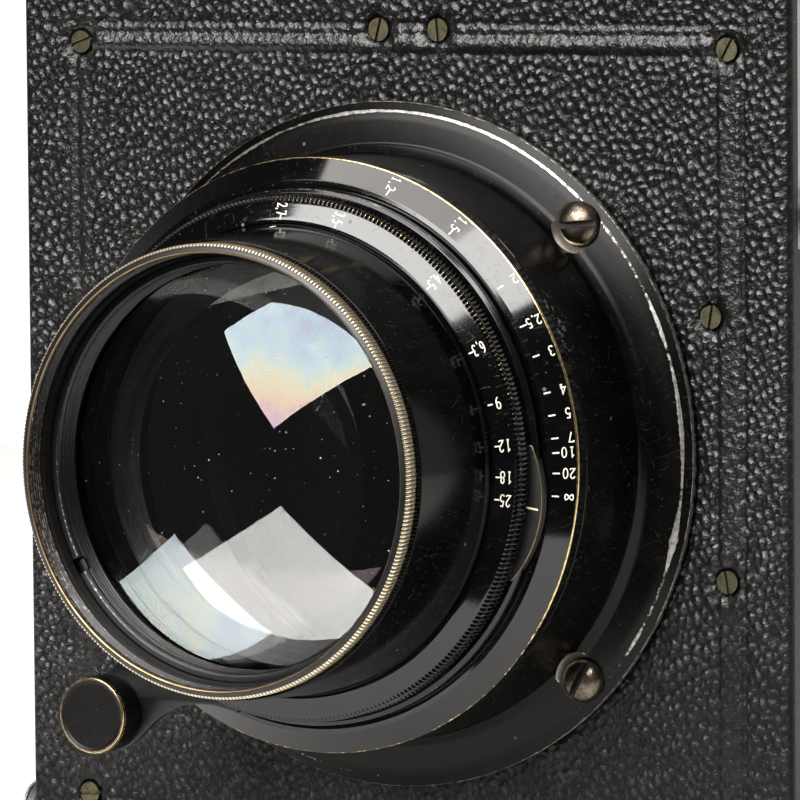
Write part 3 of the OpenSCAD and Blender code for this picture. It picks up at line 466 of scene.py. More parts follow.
def materials():
    M = MATS
    M["flange"] = lacquer("flange_enamel", base=(0.0008, 0.0007, 0.0006), rough=0.21, spec=0.13, wear_to=(0.4, 0.385, 0.36), wear_rough=0.4, scratch=0.8)
    M["band"] = lacquer("band_enamel", rough=0.045, spec=0.48, wear_to=(0.78, 0.58, 0.3), wear_rough=0.22, scratch=0.35)
    M["barrel"] = lacquer("barrel_enamel", rough=0.08, spec=0.13, base=(0.0008, 0.0008, 0.0008), wear_to=(0.6, 0.5, 0.36), scratch=0.9)
    M["knurl"] = lacquer("knurl_enamel", rough=0.16, wear_to=(0.82, 0.66, 0.42), wear_rough=0.25, scratch=0.0)
    M["knob"] = lacquer("knob_enamel", base=(0.0016, 0.0015, 0.0013), rough=0.34, spec=0.2, wear_to=(0.78, 0.56, 0.3), wear_rough=0.25, dust=0.3, lap=3.0)
    M["focus"] = lacquer("focus_enamel", base=(0.001, 0.001, 0.0011), rough=0.12, spec=0.4, wear_to=(0.62, 0.52, 0.38), wear_rough=0.3, scratch=0.5)
    M["arm"] = satin("arm_enamel", (0.0012, 0.0012, 0.0013), rough=0.26, line="flat", scale=1.0, worn=(0.6, 0.48, 0.3), wear=0.5, bump=0.00002)
    M["edge_brass"] = metal("rubbed_edge", (0.42, 0.28, 0.14), (0.12, 0.075, 0.04), rough=0.3, patch=0.5, grime=0.6, bump=0.00001)
    M["lug"] = satin("lug_enamel", (0.003, 0.003, 0.0033), rough=0.4, line="flat", scale=1.0, worn=(0.6, 0.48, 0.3), wear=0.6, bump=0.00002)
    # The milled rim's gaps between teeth are painted near-black (gap=True): painted shade.
    M["rim"] = metal("milled_brass", (0.80, 0.68, 0.50), (0.24, 0.15, 0.06), rough=0.24, patch=0.6, grime=0.35, bump=0.00001, gap=True)
    # Worn colour on the inner wall follows the rim's crest attribute: crest wear plus a painted highlight at the lower
    # left.
    M["rim_in"] = satin("inner_black", (0.002, 0.0017, 0.0015), rough=0.32, scale=3.0, worn=(0.4, 0.35, 0.29), wear=1.0, bump=0.000008)
    M["cell"] = satin("cell_black", (0.002, 0.002, 0.0021), rough=0.28, scale=6.0, bump=0.00005, worn=(0.5, 0.48, 0.44), wear=0.9)
    M["gold"] = metal("thin_gilt_edge", (0.82, 0.6, 0.3), (0.32, 0.2, 0.08), rough=0.25, patch=0.4, grime=0.4, bump=0.00001)
    M["leather"] = leather("panel_leather", rough=0.22, grain=0.00008, spec=0.5)
    M["side_leather"] = leather("body_leather_grain", pebble=0.00022)
    M["strap"] = leather("strap_leather_grain", base=(0.028, 0.018, 0.012), pebble=0.00008, rough=0.45)
    M["bellows"] = leather("bellows_leather_grain", base=(0.004, 0.0038, 0.0037), pebble=0.00007, rough=0.5)
    M["wood"] = wood("ebonised_wood")
    M["hood"] = leather("hood_leathercloth", base=(0.005, 0.0048, 0.005), pebble=0.00006, rough=0.4)
    M["brass"] = metal("aged_brass", (0.58, 0.42, 0.2), (0.2, 0.15, 0.08), rough=0.34, patch=0.7, grime=0.65)
    M["screw"] = metal("old_screw_brass", (0.12, 0.105, 0.065), (0.022, 0.03, 0.02), rough=0.36, patch=0.9, grime=0.85)
    M["flange_screw"] = metal("domed_screw_brass", (0.17, 0.14, 0.105), (0.024, 0.02, 0.015), rough=0.26, patch=0.6, grime=0.85)
    M["rubbed_lip"] = metal("rubbed_lip", (0.6, 0.56, 0.5), (0.14, 0.12, 0.1), rough=0.32, patch=0.7, grime=0.5, bump=0.00001)
    M["nickel"] = metal("worn_nickel", (0.66, 0.65, 0.62), (0.3, 0.27, 0.22), rough=0.25, patch=0.3, grime=0.45)
    M["steel"] = metal("blued_steel", (0.16, 0.165, 0.18), (0.05, 0.045, 0.045), rough=0.32, patch=0.25, grime=0.6, line="x")
    M["black_metal"] = satin("black_metal", (0.010, 0.010, 0.0105), rough=0.4, line="flat", scale=2.0)
    M["holder"] = lacquer("holder_enamel", base=(0.010, 0.010, 0.011), rough=0.24, wear_to=(0.3, 0.3, 0.3), lap=2.0, scratch=0.9)
    M["dial"] = metal("silvered_dial", (0.72, 0.71, 0.67), (0.42, 0.38, 0.3), rough=0.34, patch=0.35, grime=0.4, line="x")
    M["iris"] = satin("iris_steel", (0.014, 0.014, 0.016), rough=0.3, metallic=0.4, scale=3.0)
    M["front_glass"] = glass("front_glass", film=True, ior=1.6)
    M["glass"] = glass("inner_glass", ior=1.35)
    M["coated_glass"] = glass("second_glass", ior=1.22)
    M["dense_glass"] = glass("third_glass", ior=1.7)
    M["frosted"] = frosted("ground_screen")
    M["mirror"] = mirror_mat("silvered_mirror")
    M["cloth"] = cloth("rubberised_cloth")
    M["roller"] = oiled_wood("roller_wood")
    M["ink"] = ink("engraving_fill")
    M["ink_cream"] = ink("engraving_fill_cream", (0.86, 0.8, 0.5))
    M["ink_black"] = ink("engraving_fill_black", (0.02, 0.02, 0.02))


# ------------------------------------------------------------------ mesh helpers
def new_object(name, me, mat, body, replaces=()):
    if mat is not None:
        for mm in mat if isinstance(mat, (list, tuple)) else [mat]:
            me.materials.append(mm)
    ob = bpy.data.objects.new(name, me)
    SCENE.collection.objects.link(ob)
    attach(ob, body)
    if replaces:
        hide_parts(*replaces)
    return ob


def grid_mesh(name, V, quads, normals=None, attrs=None, smooth=True, sharp=None, index=None):
    """V in mm (n, 3); quads (m, 4)."""
    me = bpy.data.meshes.new(name)
    V = np.asarray(V, float) * MM
    Q = np.asarray(quads, np.int32)
    me.vertices.add(len(V))
    me.vertices.foreach_set("co", V.ravel())
    me.loops.add(Q.size)
    me.loops.foreach_set("vertex_index", Q.ravel())
    me.polygons.add(len(Q))
    me.polygons.foreach_set("loop_start", np.arange(0, Q.size, 4, dtype=np.int32))
    if index is not None:
        me.polygons.foreach_set("material_index", np.asarray(index, np.int32))
    me.update(calc_edges=True)
    me.polygons.foreach_set("use_smooth", np.full(len(Q), smooth))
    for k, v in (attrs or {}).items():
        a = me.attributes.new(k, "FLOAT", "POINT")
        a.data.foreach_set("value", np.asarray(v, np.float32).ravel())
    if sharp is not None:
        me.set_sharp_from_angle(angle=math.radians(sharp))
    if normals is not None:
        me.normals_split_custom_set_from_vertices(np.asarray(normals, float).reshape(-1, 3).tolist())
    me.update()
    return me


def profile(pts, closed=True, seg=4, out=None):
    """pts: (r, d, fillet radius, wear) in order; gives arrays r, d, normal r, normal d, wear, break-after flags."""
    P = [(p[0], p[1], p[2] if len(p) > 2 else 0.0, p[3] if len(p) > 3 else 0.0) for p in pts]
    n = len(P)
    if closed:
        area = sum(P[i][0] * P[(i + 1) % n][1] - P[(i + 1) % n][0] * P[i][1] for i in range(n))
        sgn = 1.0 if area > 0 else -1.0
    else:
        sgn = 1.0 if out is None else out
    res = []
    for i in range(n):
        r, d, f, w = P[i]
        if not closed and i in (0, n - 1):
            j = 1 if i == 0 else n - 2
            a, b = (P[0], P[1]) if i == 0 else (P[n - 2], P[n - 1])
            u = np.array([b[0] - a[0], b[1] - a[1]])
            u /= np.hypot(*u)
            res.append((r, d, sgn * u[1], -sgn * u[0], w, False))
            continue
        a, c = P[(i - 1) % n], P[(i + 1) % n]
        u1 = np.array([r - a[0], d - a[1]])
        u2 = np.array([c[0] - r, c[1] - d])
        l1, l2 = np.hypot(*u1), np.hypot(*u2)
        u1, u2 = u1 / l1, u2 / l2
        n1 = sgn * np.array([u1[1], -u1[0]])
        n2 = sgn * np.array([u2[1], -u2[0]])
        turn = math.atan2(u1[0] * u2[1] - u1[1] * u2[0], float(u1 @ u2)) * sgn
        if f <= 0 or abs(turn) < 1e-3:
            if abs(turn) < 1e-3:
                res.append((r, d, n1[0], n1[1], w, False))
            else:
                res.append((r, d, n1[0], n1[1], w, True))
                res.append((r, d, n2[0], n2[1], w, False))
            continue
        t = min(f * math.tan(abs(turn) / 2), 0.45 * l1, 0.45 * l2)
        rad = t / math.tan(abs(turn) / 2)
        conv = 1.0 if turn > 0 else -1.0
        p0 = np.array([r, d]) - u1 * t
        ctr = p0 - conv * n1 * rad
        far1, far2 = min(0.35, 0.4 * l1), min(0.35, 0.4 * l2)
        if far1 > t * 1.05:
            q = np.array([r, d]) - u1 * far1
            res.append((q[0], q[1], n1[0], n1[1], 0.0, False))
        k = max(1, int(round(seg * abs(turn) / (math.pi / 2))))
        for s in range(k + 1):
            ang = (turn * sgn) * s / k
            ca, sa = math.cos(ang), math.sin(ang)
            nn = np.array([n1[0] * ca - n1[1] * sa, n1[0] * sa + n1[1] * ca])
            q = ctr + conv * nn * rad
            res.append((q[0], q[1], nn[0], nn[1], w, False))
        if far2 > t * 1.05:
            q = np.array([r, d]) + u2 * far2
            res.append((q[0], q[1], n2[0], n2[1], 0.0, False))
    return res


def lens_point(r, a, d, cx=0.0, cz=0.0):
    return np.stack([cx + r * np.cos(a), FRONT - d, AXIS + cz + r * np.sin(a)], -1)


def lathe_arrays(pts, n, closed=True, seg=4, out=None, centre=(0.0, 0.0), change=None, wear_fn=None, absolute=False):
    res = profile(pts, closed, seg, out)
    R = np.array([p[0] for p in res])
    D = np.array([p[1] for p in res])
    NR = np.array([p[2] for p in res])
    ND = np.array([p[3] for p in res])
    W = np.array([p[4] for p in res])
    brk = [p[5] for p in res]
    m = len(R)
    a = np.linspace(0, 2 * math.pi, n, endpoint=False)
    RR = np.repeat(R[:, None], n, 1)
    DD = np.repeat(D[:, None], n, 1)
    AA = np.repeat(a[None], m, 0)
    if change is not None:
        RR, DD = change(RR, DD, AA)
    V = np.stack([centre[0] + RR * np.cos(AA), np.broadcast_to(FRONT - DD, RR.shape), AXIS + centre[1] + RR * np.sin(AA)], -1)
    N = np.stack([NR[:, None] * np.cos(a), np.repeat(-ND[:, None], n, 1), NR[:, None] * np.sin(a)], -1)
    Wm = np.repeat(W[:, None], n, 1)
    if wear_fn is not None:
        Wm = wear_fn(RR, DD, AA) * (1.0 if absolute else Wm)
    i0 = [i for i in range(m if closed else m - 1) if not brk[i]]
    Q = []
    j = np.arange(n)
    j2 = (j + 1) % n
    for i in i0:
        k = (i + 1) % m
        Q.append(np.stack([i * n + j, i * n + j2, k * n + j2, k * n + j], -1))
    Q = np.concatenate(Q)
    V = V.reshape(-1, 3)
    N = N.reshape(-1, 3)
    q = Q[len(Q) // 3]
    g = np.cross(V[q[1]] - V[q[0]], V[q[2]] - V[q[0]])
    for q in Q[:: max(1, len(Q) // 37)]:
        g = np.cross(V[q[1]] - V[q[0]], V[q[2]] - V[q[0]])
        if np.linalg.norm(g) > 1e-4:
            if g @ (N[q[0]] + N[q[2]]) < 0:
                Q = Q[:, ::-1]
            break
    return V, Q, N, Wm.ravel()


def lathe(name, pts, mat, body, slot, n=256, replaces=(), normals=True, sharp=None, **kw):
    V, Q, N, W = lathe_arrays(pts, n, **kw)
    me = grid_mesh(name, V, Q, N if normals else None, {"wear": W}, sharp=sharp)
    return new_object(name, me, mat, body, replaces)


def solid_of(ob):
    """Bakes an object's modifiers into its mesh."""
    dg = bpy.context.evaluated_depsgraph_get()
    me = bpy.data.meshes.new_from_object(ob.evaluated_get(dg))
    ob.modifiers.clear()
    old = ob.data
    ob.data = me
    if isinstance(old, bpy.types.Mesh):
        bpy.data.meshes.remove(old)
    return ob


# ------------------------------------------------------------------ engraved strokes
def arc(cx, cy, rx, ry, a0, a1, n=14):
    return [(cx + rx * math.cos(math.radians(a0 + (a1 - a0) * i / n)), cy + ry * math.sin(math.radians(a0 + (a1 - a0) * i / n))) for i in range(n + 1)]


GLYPH = {
    "0": [arc(0.3, 0.5, 0.28, 0.5, 90, 450, 20)],
    "1": [[(0.12, 0.78), (0.34, 1.0), (0.34, 0.0)], [(0.14, 0.0), (0.54, 0.0)]],
    "2": [arc(0.3, 0.72, 0.26, 0.28, 165, -30, 12) + [(0.02, 0.02), (0.60, 0.02)], [(0.60, 0.02), (0.60, 0.14)]],
    "3": [arc(0.28, 0.76, 0.24, 0.24, 150, -80, 10), arc(0.28, 0.27, 0.28, 0.27, 82, -150, 12)],
    "4": [[(0.46, 0.0), (0.46, 1.0), (0.0, 0.3), (0.66, 0.3)], [(0.3, 0.0), (0.62, 0.0)]],
    "5": [[(0.52, 1.0), (0.14, 1.0), (0.08, 0.55)] + arc(0.28, 0.31, 0.28, 0.31, 130, -150, 14)],
    "6": [arc(0.46, 0.5, 0.44, 0.5, 100, 190, 9), arc(0.3, 0.29, 0.27, 0.29, 180, -180, 18)],
    "7": [[(0.02, 0.86), (0.02, 1.0), (0.6, 1.0), (0.24, 0.0)]],
    "8": [arc(0.3, 0.75, 0.22, 0.25, -90, 270, 16), arc(0.3, 0.26, 0.28, 0.26, 90, 450, 18)],
    "9": [arc(0.14, 0.5, 0.44, 0.5, -80, 10, 9), arc(0.3, 0.71, 0.27, 0.29, 0, 360, 18)],
    ",": [[(0.06, 0.06), (0.02, -0.16)]],
    "8w": [[(0.55 + 0.55 * math.cos(t) , 0.5 + 0.36 * math.sin(2 * t)) for t in [2 * math.pi * i / 28 for i in range(29)]]],
}
WIDTH = {",": 0.26, "8w": 1.3, "1": 0.78}


def ribbon(path, w, surf, V, Q, top=0.016, deep=0.03):
    """A stroke of width w along a plane path, laid on the surface surf(u, v, h)."""
    P = [np.array(p, float) for p in path]
    P = [p for i, p in enumerate(P) if i == 0 or np.hypot(*(p - P[i - 1])) > 1e-4]
    n = len(P)
    closed = n > 3 and np.hypot(*(P[0] - P[-1])) < 1e-3
    base = len(V)
    for i, p in enumerate(P):
        a = P[i - 1] if i > 0 else (P[-2] if closed else None)
        b = P[i + 1] if i < n - 1 else (P[1] if closed else None)
        ta = (p - a) / np.hypot(*(p - a)) if a is not None else None
        tb = (b - p) / np.hypot(*(b - p)) if b is not None else None
        if ta is None:
            ta = tb
        if tb is None:
            tb = ta
        t = ta + tb
        t = t / max(np.hypot(*t), 1e-6)
        nn = np.array([-t[1], t[0]])
        k = 1.0 / max(0.5, float(nn @ np.array([-ta[1], ta[0]])))
        for side, h in ((-0.62, -deep), (-0.5, top), (0.5, top), (0.62, -deep)):
            q = p + nn * (side * w * k)
            V.append(surf(q[0], q[1], h))
    for i in range(n - 1):
        for s in range(3):
            c = base + 4 * i + s
            Q.append((c, c + 4, c + 5, c + 1))
    if not closed:
        Q.append((base, base + 1, base + 2, base + 3))
        c = base + 4 * (n - 1)
        Q.append((c + 3, c + 2, c + 1, c))


def write(text, h, stroke, place, V, Q, gap=0.24, wx=1.0):
    """place(u, v, height) gives a point; u runs along the text, v upwards; the text starts at u = 0."""
    u = 0.0
    for g in text:
        for path in GLYPH[g]:
            ribbon([(u + x * h * wx, y * h) for x, y in path], stroke, place, V, Q)
        u += (WIDTH.get(g, 0.66) + gap) * h * wx
    return u


def marks_object(name, V, Q, mat, body):
    V = np.array(V)
    me = grid_mesh(name, V, np.array(Q), smooth=False)
    import bmesh
    bm = bmesh.new()
    bm.from_mesh(me)
    bmesh.ops.recalc_face_normals(bm, faces=bm.faces)
    bm.to_mesh(me)
    bm.free()
    return new_object(name, me, mat, body)


def cone_place(phi0, u0, v0, r0, d0, r1, d1, r_start, sign=-1.0):
    """Text on a cone from (r0, d0) to (r1, d1); it starts at radius r_start and runs inwards, upright is clockwise."""
    t = np.array([r1 - r0, d1 - d0])
    t = t / np.hypot(*t)
    nrm = np.array([t[1], -t[0]])
    if nrm[1] < 0:
        nrm = -nrm

    def f(u, v, h):
        s = (r_start - r0) / t[0]
        q = np.array([r0, d0]) + t * (s + sign * (u + u0) * (1 if t[0] > 0 else -1))
        q = q + nrm * h
        a = phi0 - (v + v0) / max(q[0], 1e-3)
        return (q[0] * math.cos(a), FRONT - q[1], AXIS + q[0] * math.sin(a))

    return f


# ------------------------------------------------------------------ lens pieces
def tri(t):
    t = t % 1.0
    return 1.0 - abs(2 * t - 1.0)


def lobe(phi, at, half):
    """1 at an angle, falling to 0 half degrees away."""
    dphi = (phi - at + math.pi) % (2 * math.pi) - math.pi
    return np.clip(1.0 - np.abs(dphi) / math.radians(half), 0.0, 1.0)


def make_flange():
    rad = math.radians
    holes = [45.5, 134.5, 225.5, 315.0]

    def wear(R, D, A):
        # Bare metal shows where the enamel is worn: a thin line round the outer edge and chips; the broad extra bare
        # metal over the top (the lobes near 72 and 74 degrees) is a painted highlight where the top light falls, not
        # wear.
        b = 0.66 + 0.22 * lobe(A, rad(72), 38) + 1.0 * lobe(A, rad(-14), 6) + 0.45 * lobe(A, rad(6), 12) + 0.4 * lobe(A, rad(23), 5) + 0.3 * lobe(A, rad(-33), 4)
        b = b + 0.3 * lobe(A, rad(118), 7) + 0.3 * lobe(A, rad(98), 8) - 0.3 * lobe(A, rad(-70), 50) - 0.25 * lobe(A, rad(160), 30)
        s = np.maximum(40.95 - R, 0.0)
        inner = np.where(R < 41.3, b - 2.4 * s, 0.0)
        # The lobe near 74 degrees widens the bare metal over the top: painted highlight.
        bevel = b + 0.25 * lobe(A, rad(74), 40) - 2.2 * np.abs(R - 40.95)
        outer = 0.86 - 4.5 * np.abs(42.2 - R)
        drum = np.where((R < 36.2) & (D > 16.0), 0.46 + 0.16 * lobe(A, rad(28), 14), 0.0)
        rim = np.maximum(np.maximum(inner, outer), np.where(R > 40.9, bevel, 0.0))
        return np.where((R > 36.5) & (D > 1.2), np.clip(rim, 0.0, 2.0), drum)

    V, Q, N, W = lathe_arrays([(31.68, -13), (34.1, -13), (34.1, 0), (42.2, 0), (42.2, 1.3), (42.2, 1.55, 0.07, 1.0), (42.05, 1.62), (41.9, 1.68), (41.35, 1.9), (41.15, 1.99), (40.95, 2.12, 0.16, 1.0), (40.7, 2.2), (40.45, 2.28), (40.2, 2.35), (39.8, 2.43), (36.95, 2.78, 0.9, 0.0), (35.92, 3.75, 0.8),
                               (35.9, 16.45, 0.3, 0.7), (31.68, 16.5)], 360, seg=5, wear_fn=wear, absolute=True)
    me = grid_mesh("v_lens_flange", V, Q, None, {"wear": W})
    ob = bpy.data.objects.new("v_lens_flange", me)
    SCENE.collection.objects.link(ob)
    cut = []
    for i, h in enumerate(holes):
        cv, cq = [], []
        x, z = 38.9 * math.cos(rad(h)), 38.9 * math.sin(rad(h))
        cme = bpy.data.meshes.new(f"cut{i}")
        n = 48
        prof = [(0.0, 1.9), (2.74, 1.9), (2.74, 2.2), (3.5, 3.2), (3.5, 5.0), (0.0, 5.0)]
        for r, d in prof[1:5]:
            for k in range(n):
                a = 2 * math.pi * k / n
                cv.append(((x + r * math.cos(a)) * MM, (FRONT - d) * MM, (AXIS + z + r * math.sin(a)) * MM))
        faces = []
        for s in range(3):
            for k in range(n):
                faces.append((s * n + k, s * n + (k + 1) % n, (s + 1) * n + (k + 1) % n, (s + 1) * n + k))
        faces.append(tuple(range(n))[::-1])
        faces.append(tuple(range(3 * n, 4 * n)))
        cme.from_pydata(cv, [], faces)
        import bmesh
        bm = bmesh.new()
        bm.from_mesh(cme)
        bmesh.ops.recalc_face_normals(bm, faces=bm.faces)
        bm.to_mesh(cme)
        bm.free()
        co = bpy.data.objects.new(f"cut{i}", cme)
        SCENE.collection.objects.link(co)
        cut.append(co)
        md = ob.modifiers.new(f"b{i}", "BOOLEAN")
        md.operation = "DIFFERENCE"
        md.solver = "EXACT"
        md.object = co
    solid_of(ob)
    for co in cut:
        cm = co.data
        bpy.data.objects.remove(co)
        bpy.data.meshes.remove(cm)
    ob.data.name = "v_lens_flange"
    ob.data.polygons.foreach_set("use_smooth", np.ones(len(ob.data.polygons), bool))
    ob.data.set_sharp_from_angle(angle=rad(26))
    ob.data.materials.clear()
    ob.data.materials.append(MATS["flange"])
    ob.data.materials.append(MATS["rubbed_lip"])
    for f in ob.data.polygons:
        x, d, z = f.center[0] / MM, FRONT - f.center[1] / MM, f.center[2] / MM - AXIS
        near = min(math.hypot(x - 38.9 * math.cos(rad(h)), z - 38.9 * math.sin(rad(h))) for h in holes)
        f.material_index = 1 if near < 3.4 and d > 2.15 and 0.3 < abs(f.normal.y) < 0.9 else 0
    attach(ob, "front_standard")
    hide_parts("lens_flange")


def make_flange_screws():
    """Domed screws with a slot painted near-black inside."""
    import bmesh
    V_, M_ = [], []
    for k, (h, turn) in enumerate(zip([45.5, 134.5, 225.5, 315.0], [5, 40, 80, 60])):
        cx, cz = 38.9 * math.cos(math.radians(h)), 38.9 * math.sin(math.radians(h))
        prof = [(0.02, 4.10), (0.5, 4.09), (1.0, 4.03), (1.5, 3.9), (1.95, 3.68), (2.3, 3.38), (2.52, 3.02), (2.62, 2.6), (2.64, 1.95), (0.02, 1.95)]
        n = 64
        vs, fs = [], []
        for r, d in prof:
            for j in range(n):
                a = 2 * math.pi * j / n
                vs.append(((cx + r * math.cos(a)) * MM, (FRONT - d) * MM, (AXIS + cz + r * math.sin(a)) * MM))
        for i in range(len(prof) - 1):
            for j in range(n):
                fs.append((i * n + j, i * n + (j + 1) % n, (i + 1) * n + (j + 1) % n, (i + 1) * n + j))
        fs.append(tuple(range(n)))
        fs.append(tuple(range((len(prof) - 1) * n, len(prof) * n)))
        me = bpy.data.meshes.new(f"dome{k}")
        me.from_pydata(vs, [], fs)
        bm = bmesh.new()
        bm.from_mesh(me)
        bmesh.ops.recalc_face_normals(bm, faces=bm.faces)
        bm.to_mesh(me)
        bm.free()
        me.polygons.foreach_set("use_smooth", np.ones(len(me.polygons), bool))
        ob = bpy.data.objects.new(f"dome{k}", me)
        SCENE.collection.objects.link(ob)
        # cutter: a long bar with slightly leaning walls
        t = math.radians(turn)
        cs = []
        for u in (-3.2, 3.2):
            for w, d in ((-0.36, 2.95), (0.36, 2.95), (0.5, 4.6), (-0.5, 4.6)):
                cs.append(((cx + u * math.cos(t) - w * math.sin(t)) * MM, (FRONT - d) * MM, (AXIS + cz + u * math.sin(t) + w * math.cos(t)) * MM))
        cm = bpy.data.meshes.new("slot")
        cm.from_pydata(cs, [], [(0, 1, 2, 3), (4, 5, 6, 7), (0, 1, 5, 4), (1, 2, 6, 5), (2, 3, 7, 6), (3, 0, 4, 7)])
        bm = bmesh.new()
        bm.from_mesh(cm)
        bmesh.ops.recalc_face_normals(bm, faces=bm.faces)
        bm.to_mesh(cm)
        bm.free()
        co = bpy.data.objects.new("slot", cm)
        SCENE.collection.objects.link(co)
        md = ob.modifiers.new("b", "BOOLEAN")
        md.operation, md.solver, md.object = "DIFFERENCE", "EXACT", co
        solid_of(ob)
        bpy.data.objects.remove(co)
        bpy.data.meshes.remove(cm)
        co3 = np.array([v.co[:] for v in ob.data.vertices]) / MM
        for f in ob.data.polygons:
            c = np.array(f.center) / MM
            w = -(c[0] - cx) * math.sin(t) + (c[2] - AXIS - cz) * math.cos(t)
            V_.append([list(co3[i]) for i in f.vertices])
            # Faces inside the slot take the second material, which is near-black.
            M_.append(1 if abs(w) < 0.46 and FRONT - c[1] < 3.9 and FRONT - c[1] > 2.5 and np.hypot(c[0] - cx, c[2] - AXIS - cz) < 2.6 and (abs(f.normal.y) < 0.6 or FRONT - c[1] < 3.0) else 0)
        bpy.data.objects.remove(ob)
    me = bpy.data.meshes.new("v_flange_screws")
    bm = bmesh.new()
    for pts, mi in zip(V_, M_):
        f = bm.faces.new([bm.verts.new((x * MM, y * MM, z * MM)) for x, y, z in pts])
        f.material_index = mi
        f.smooth = True
    bmesh.ops.remove_doubles(bm, verts=bm.verts, dist=2e-6)
    bmesh.ops.recalc_face_normals(bm, faces=bm.faces)
    bm.to_mesh(me)
    bm.free()
    me.set_sharp_from_angle(angle=math.radians(32))
    new_object("v_flange_screws", me, [MATS["flange_screw"], MATS["slot_darkening"]], "front_standard", ("flange_screws",))


def make_rings():
    rad = math.radians

    def wear_d(R, D, A):
        return 0.42 + 0.45 * lobe(A, rad(20), 60) + 0.3 * lobe(A, rad(75), 30)

    lathe("v_distance_ring", [(32.2, 16.55), (35.8, 16.55, 0.1), (36.1, 16.9, 0.1, 0.6), (36.1, 18.65, 0.2, 1.5), (33.45, 20.62, 0.2, 0.55),
                              (32.95, 20.7, 0.1, 0.3), (32.2, 20.7, 0.1)], MATS["band"], "front_standard", "black_lacquer", n=384,
          replaces=("distance_ring",), seg=6, wear_fn=wear_d)
    # distance marks
    V, Q = [], []
    r0, d0, r1, d1 = 35.95, 18.77, 33.45, 20.62
    for text, phi in (("8w", -5.7), ("20", -1.1), ("10", 3.0), ("7", 5.9), ("5", 10.5), ("4", 15.1), ("3", 22.8), ("2,5", 29.4), ("2", 38.6), ("1,5", 54.3), ("1,2", 70.9)):
        f = cone_place(rad(phi), 0.0, -0.58, r0, d0, r1, d1, 35.74)
        if text == "8w":
            f = cone_place(rad(phi), 0.0, -0.45, r0, d0, r1, d1, 35.66)
            write(["8w"], 0.9, 0.13, f, V, Q)
        else:
            write(text, 1.16, 0.13, f, V, Q, wx=0.74 if len(text) > 2 else 0.82)
        g = cone_place(rad(phi), 0.0, 0.0, r0, d0, r1, d1, 34.28)
        ribbon([(0.0, 0.0), (0.85, 0.0)], 0.17, g, V, Q)
    marks_object("v_distance_marks", V, Q, MATS["ink"], "front_standard")

    # focusing ring with its arm and index lug
    def wear_f(R, D, A):
        return 0.35 + 0.5 * lobe(A, rad(80), 60) + 0.3 * lobe(A, rad(-60), 60)

    ring = [(29.88, 5.0), (31.6, 5.0, 0.2), (31.6, 20.9), (32.1, 20.9, 0.1), (32.4, 21.25, 0.15, 0.5), (32.4, 21.85, 0.15, 0.8), (32.0, 22.2, 0.2, 0.6), (29.88, 22.2)]
    lathe("v_focus_ring", ring, MATS["focus"], "focus_unit", "black_lacquer", n=288, replaces=("focus_ring",), seg=4, wear_fn=wear_f)
    out = [(-9.7, -31.4), (-12.1, -30.9), (-13.5, -30.7), (-15.5, -30.7), (-17.2, -30.9), (-18.6, -31.4), (-20.2, -32.2), (-21.3, -32.9),
           (-22.7, -34.1), (-24.3, -35.6), (-26, -36.7), (-27.3, -37), (-29.5, -36.4), (-31.6, -34.6), (-32.6, -32.2), (-31.8, -29.6), (-30, -28.2),
           (-27.5, -26.8), (-26.5, -24.5), (-26.6, -20.5), (-27.9, -16.5)]
    out = catmull(out, 4)
    a0, a1 = math.atan2(-16.5, -27.9) + 2 * math.pi, math.atan2(-31.4, -9.7) + 2 * math.pi
    inner = [(31.35 * math.cos(a0 + (a1 - a0) * i / 24), 31.35 * math.sin(a0 + (a1 - a0) * i / 24)) for i in range(25)]
    arm = plate("v_focus_arm", out + inner, 21.0, 22.2, 0.14, MATS["arm"], "focus_unit")
    lug = [((33.35 - 1.5 * ((a + 10) / 15) ** 2) * math.cos(rad(a)), (33.35 - 1.5 * ((a + 10) / 15) ** 2) * math.sin(rad(a))) for a in np.arange(-25, 5.01, 1.5)]
    lug += [(30.6 * math.cos(rad(a)), 30.6 * math.sin(rad(a))) for a in np.arange(5, -25.01, -2.5)]
    lo = plate("v_index_lug", lug, 21.0, 22.25, 0.06, MATS["lug"], "focus_unit")
    lo.data.materials.append(MATS["edge_brass"])
    for f in lo.data.polygons:
        if 0.15 < abs(f.normal.y) < 0.97 and f.center.y < (FRONT - 22.0) * MM:
            f.material_index = 1
    V, Q = [], []
    ribbon([(0, 0), (1.75, 0)], 0.2, lambda u, v, h: ((31.15 + u) * math.cos(rad(-8.5)) - v * math.sin(rad(-8.5)), FRONT - 22.25 - h,
                                                     AXIS + (31.15 + u) * math.sin(rad(-8.5)) + v * math.cos(rad(-8.5))), V, Q)
    marks_object("v_focus_index", V, Q, MATS["ink_cream"], "focus_unit")

    # focusing knob
    teeth, per = 96, 6

    def knurl_k(RR, DD, AA):
        t = (AA * teeth / (2 * math.pi)) % 1.0
        g = np.clip(1.0 - np.minimum(t, 1 - t) / 0.28, 0, 1)
        side = np.clip((RR - 4.55) / 0.15, 0, 1) * ((DD > 22.4) & (DD < 25.75))
        return RR - 0.13 * g * side, DD

    def wear_k(R, D, A):
        return 0.9 + 0.25 * lobe(A, rad(-90), 70)

    lathe("v_focus_knob", [(0.02, 19.9), (2.1, 19.9, 0.2), (2.1, 20.9), (1.0, 20.9), (1.0, 22.3), (4.4, 22.3, 0.15), (4.75, 22.62, 0.1, 0.4),
                           (4.75, 25.66, 0.1, 0.9), (4.6, 25.98, 0.12, 1.35), (4.42, 26.04, 0.06, 1.0), (4.24, 26.0, 0.08, 0.0), (4.05, 25.88, 0.1, 0.0), (0.02, 25.9)],
          MATS["knob"], "focus_unit", "black_lacquer", n=teeth * per, replaces=("focus_knob",), closed=False, out=1.0, seg=3,
          centre=(-28.3, -32.4), change=knurl_k, wear_fn=wear_k, normals=False, sharp=26)


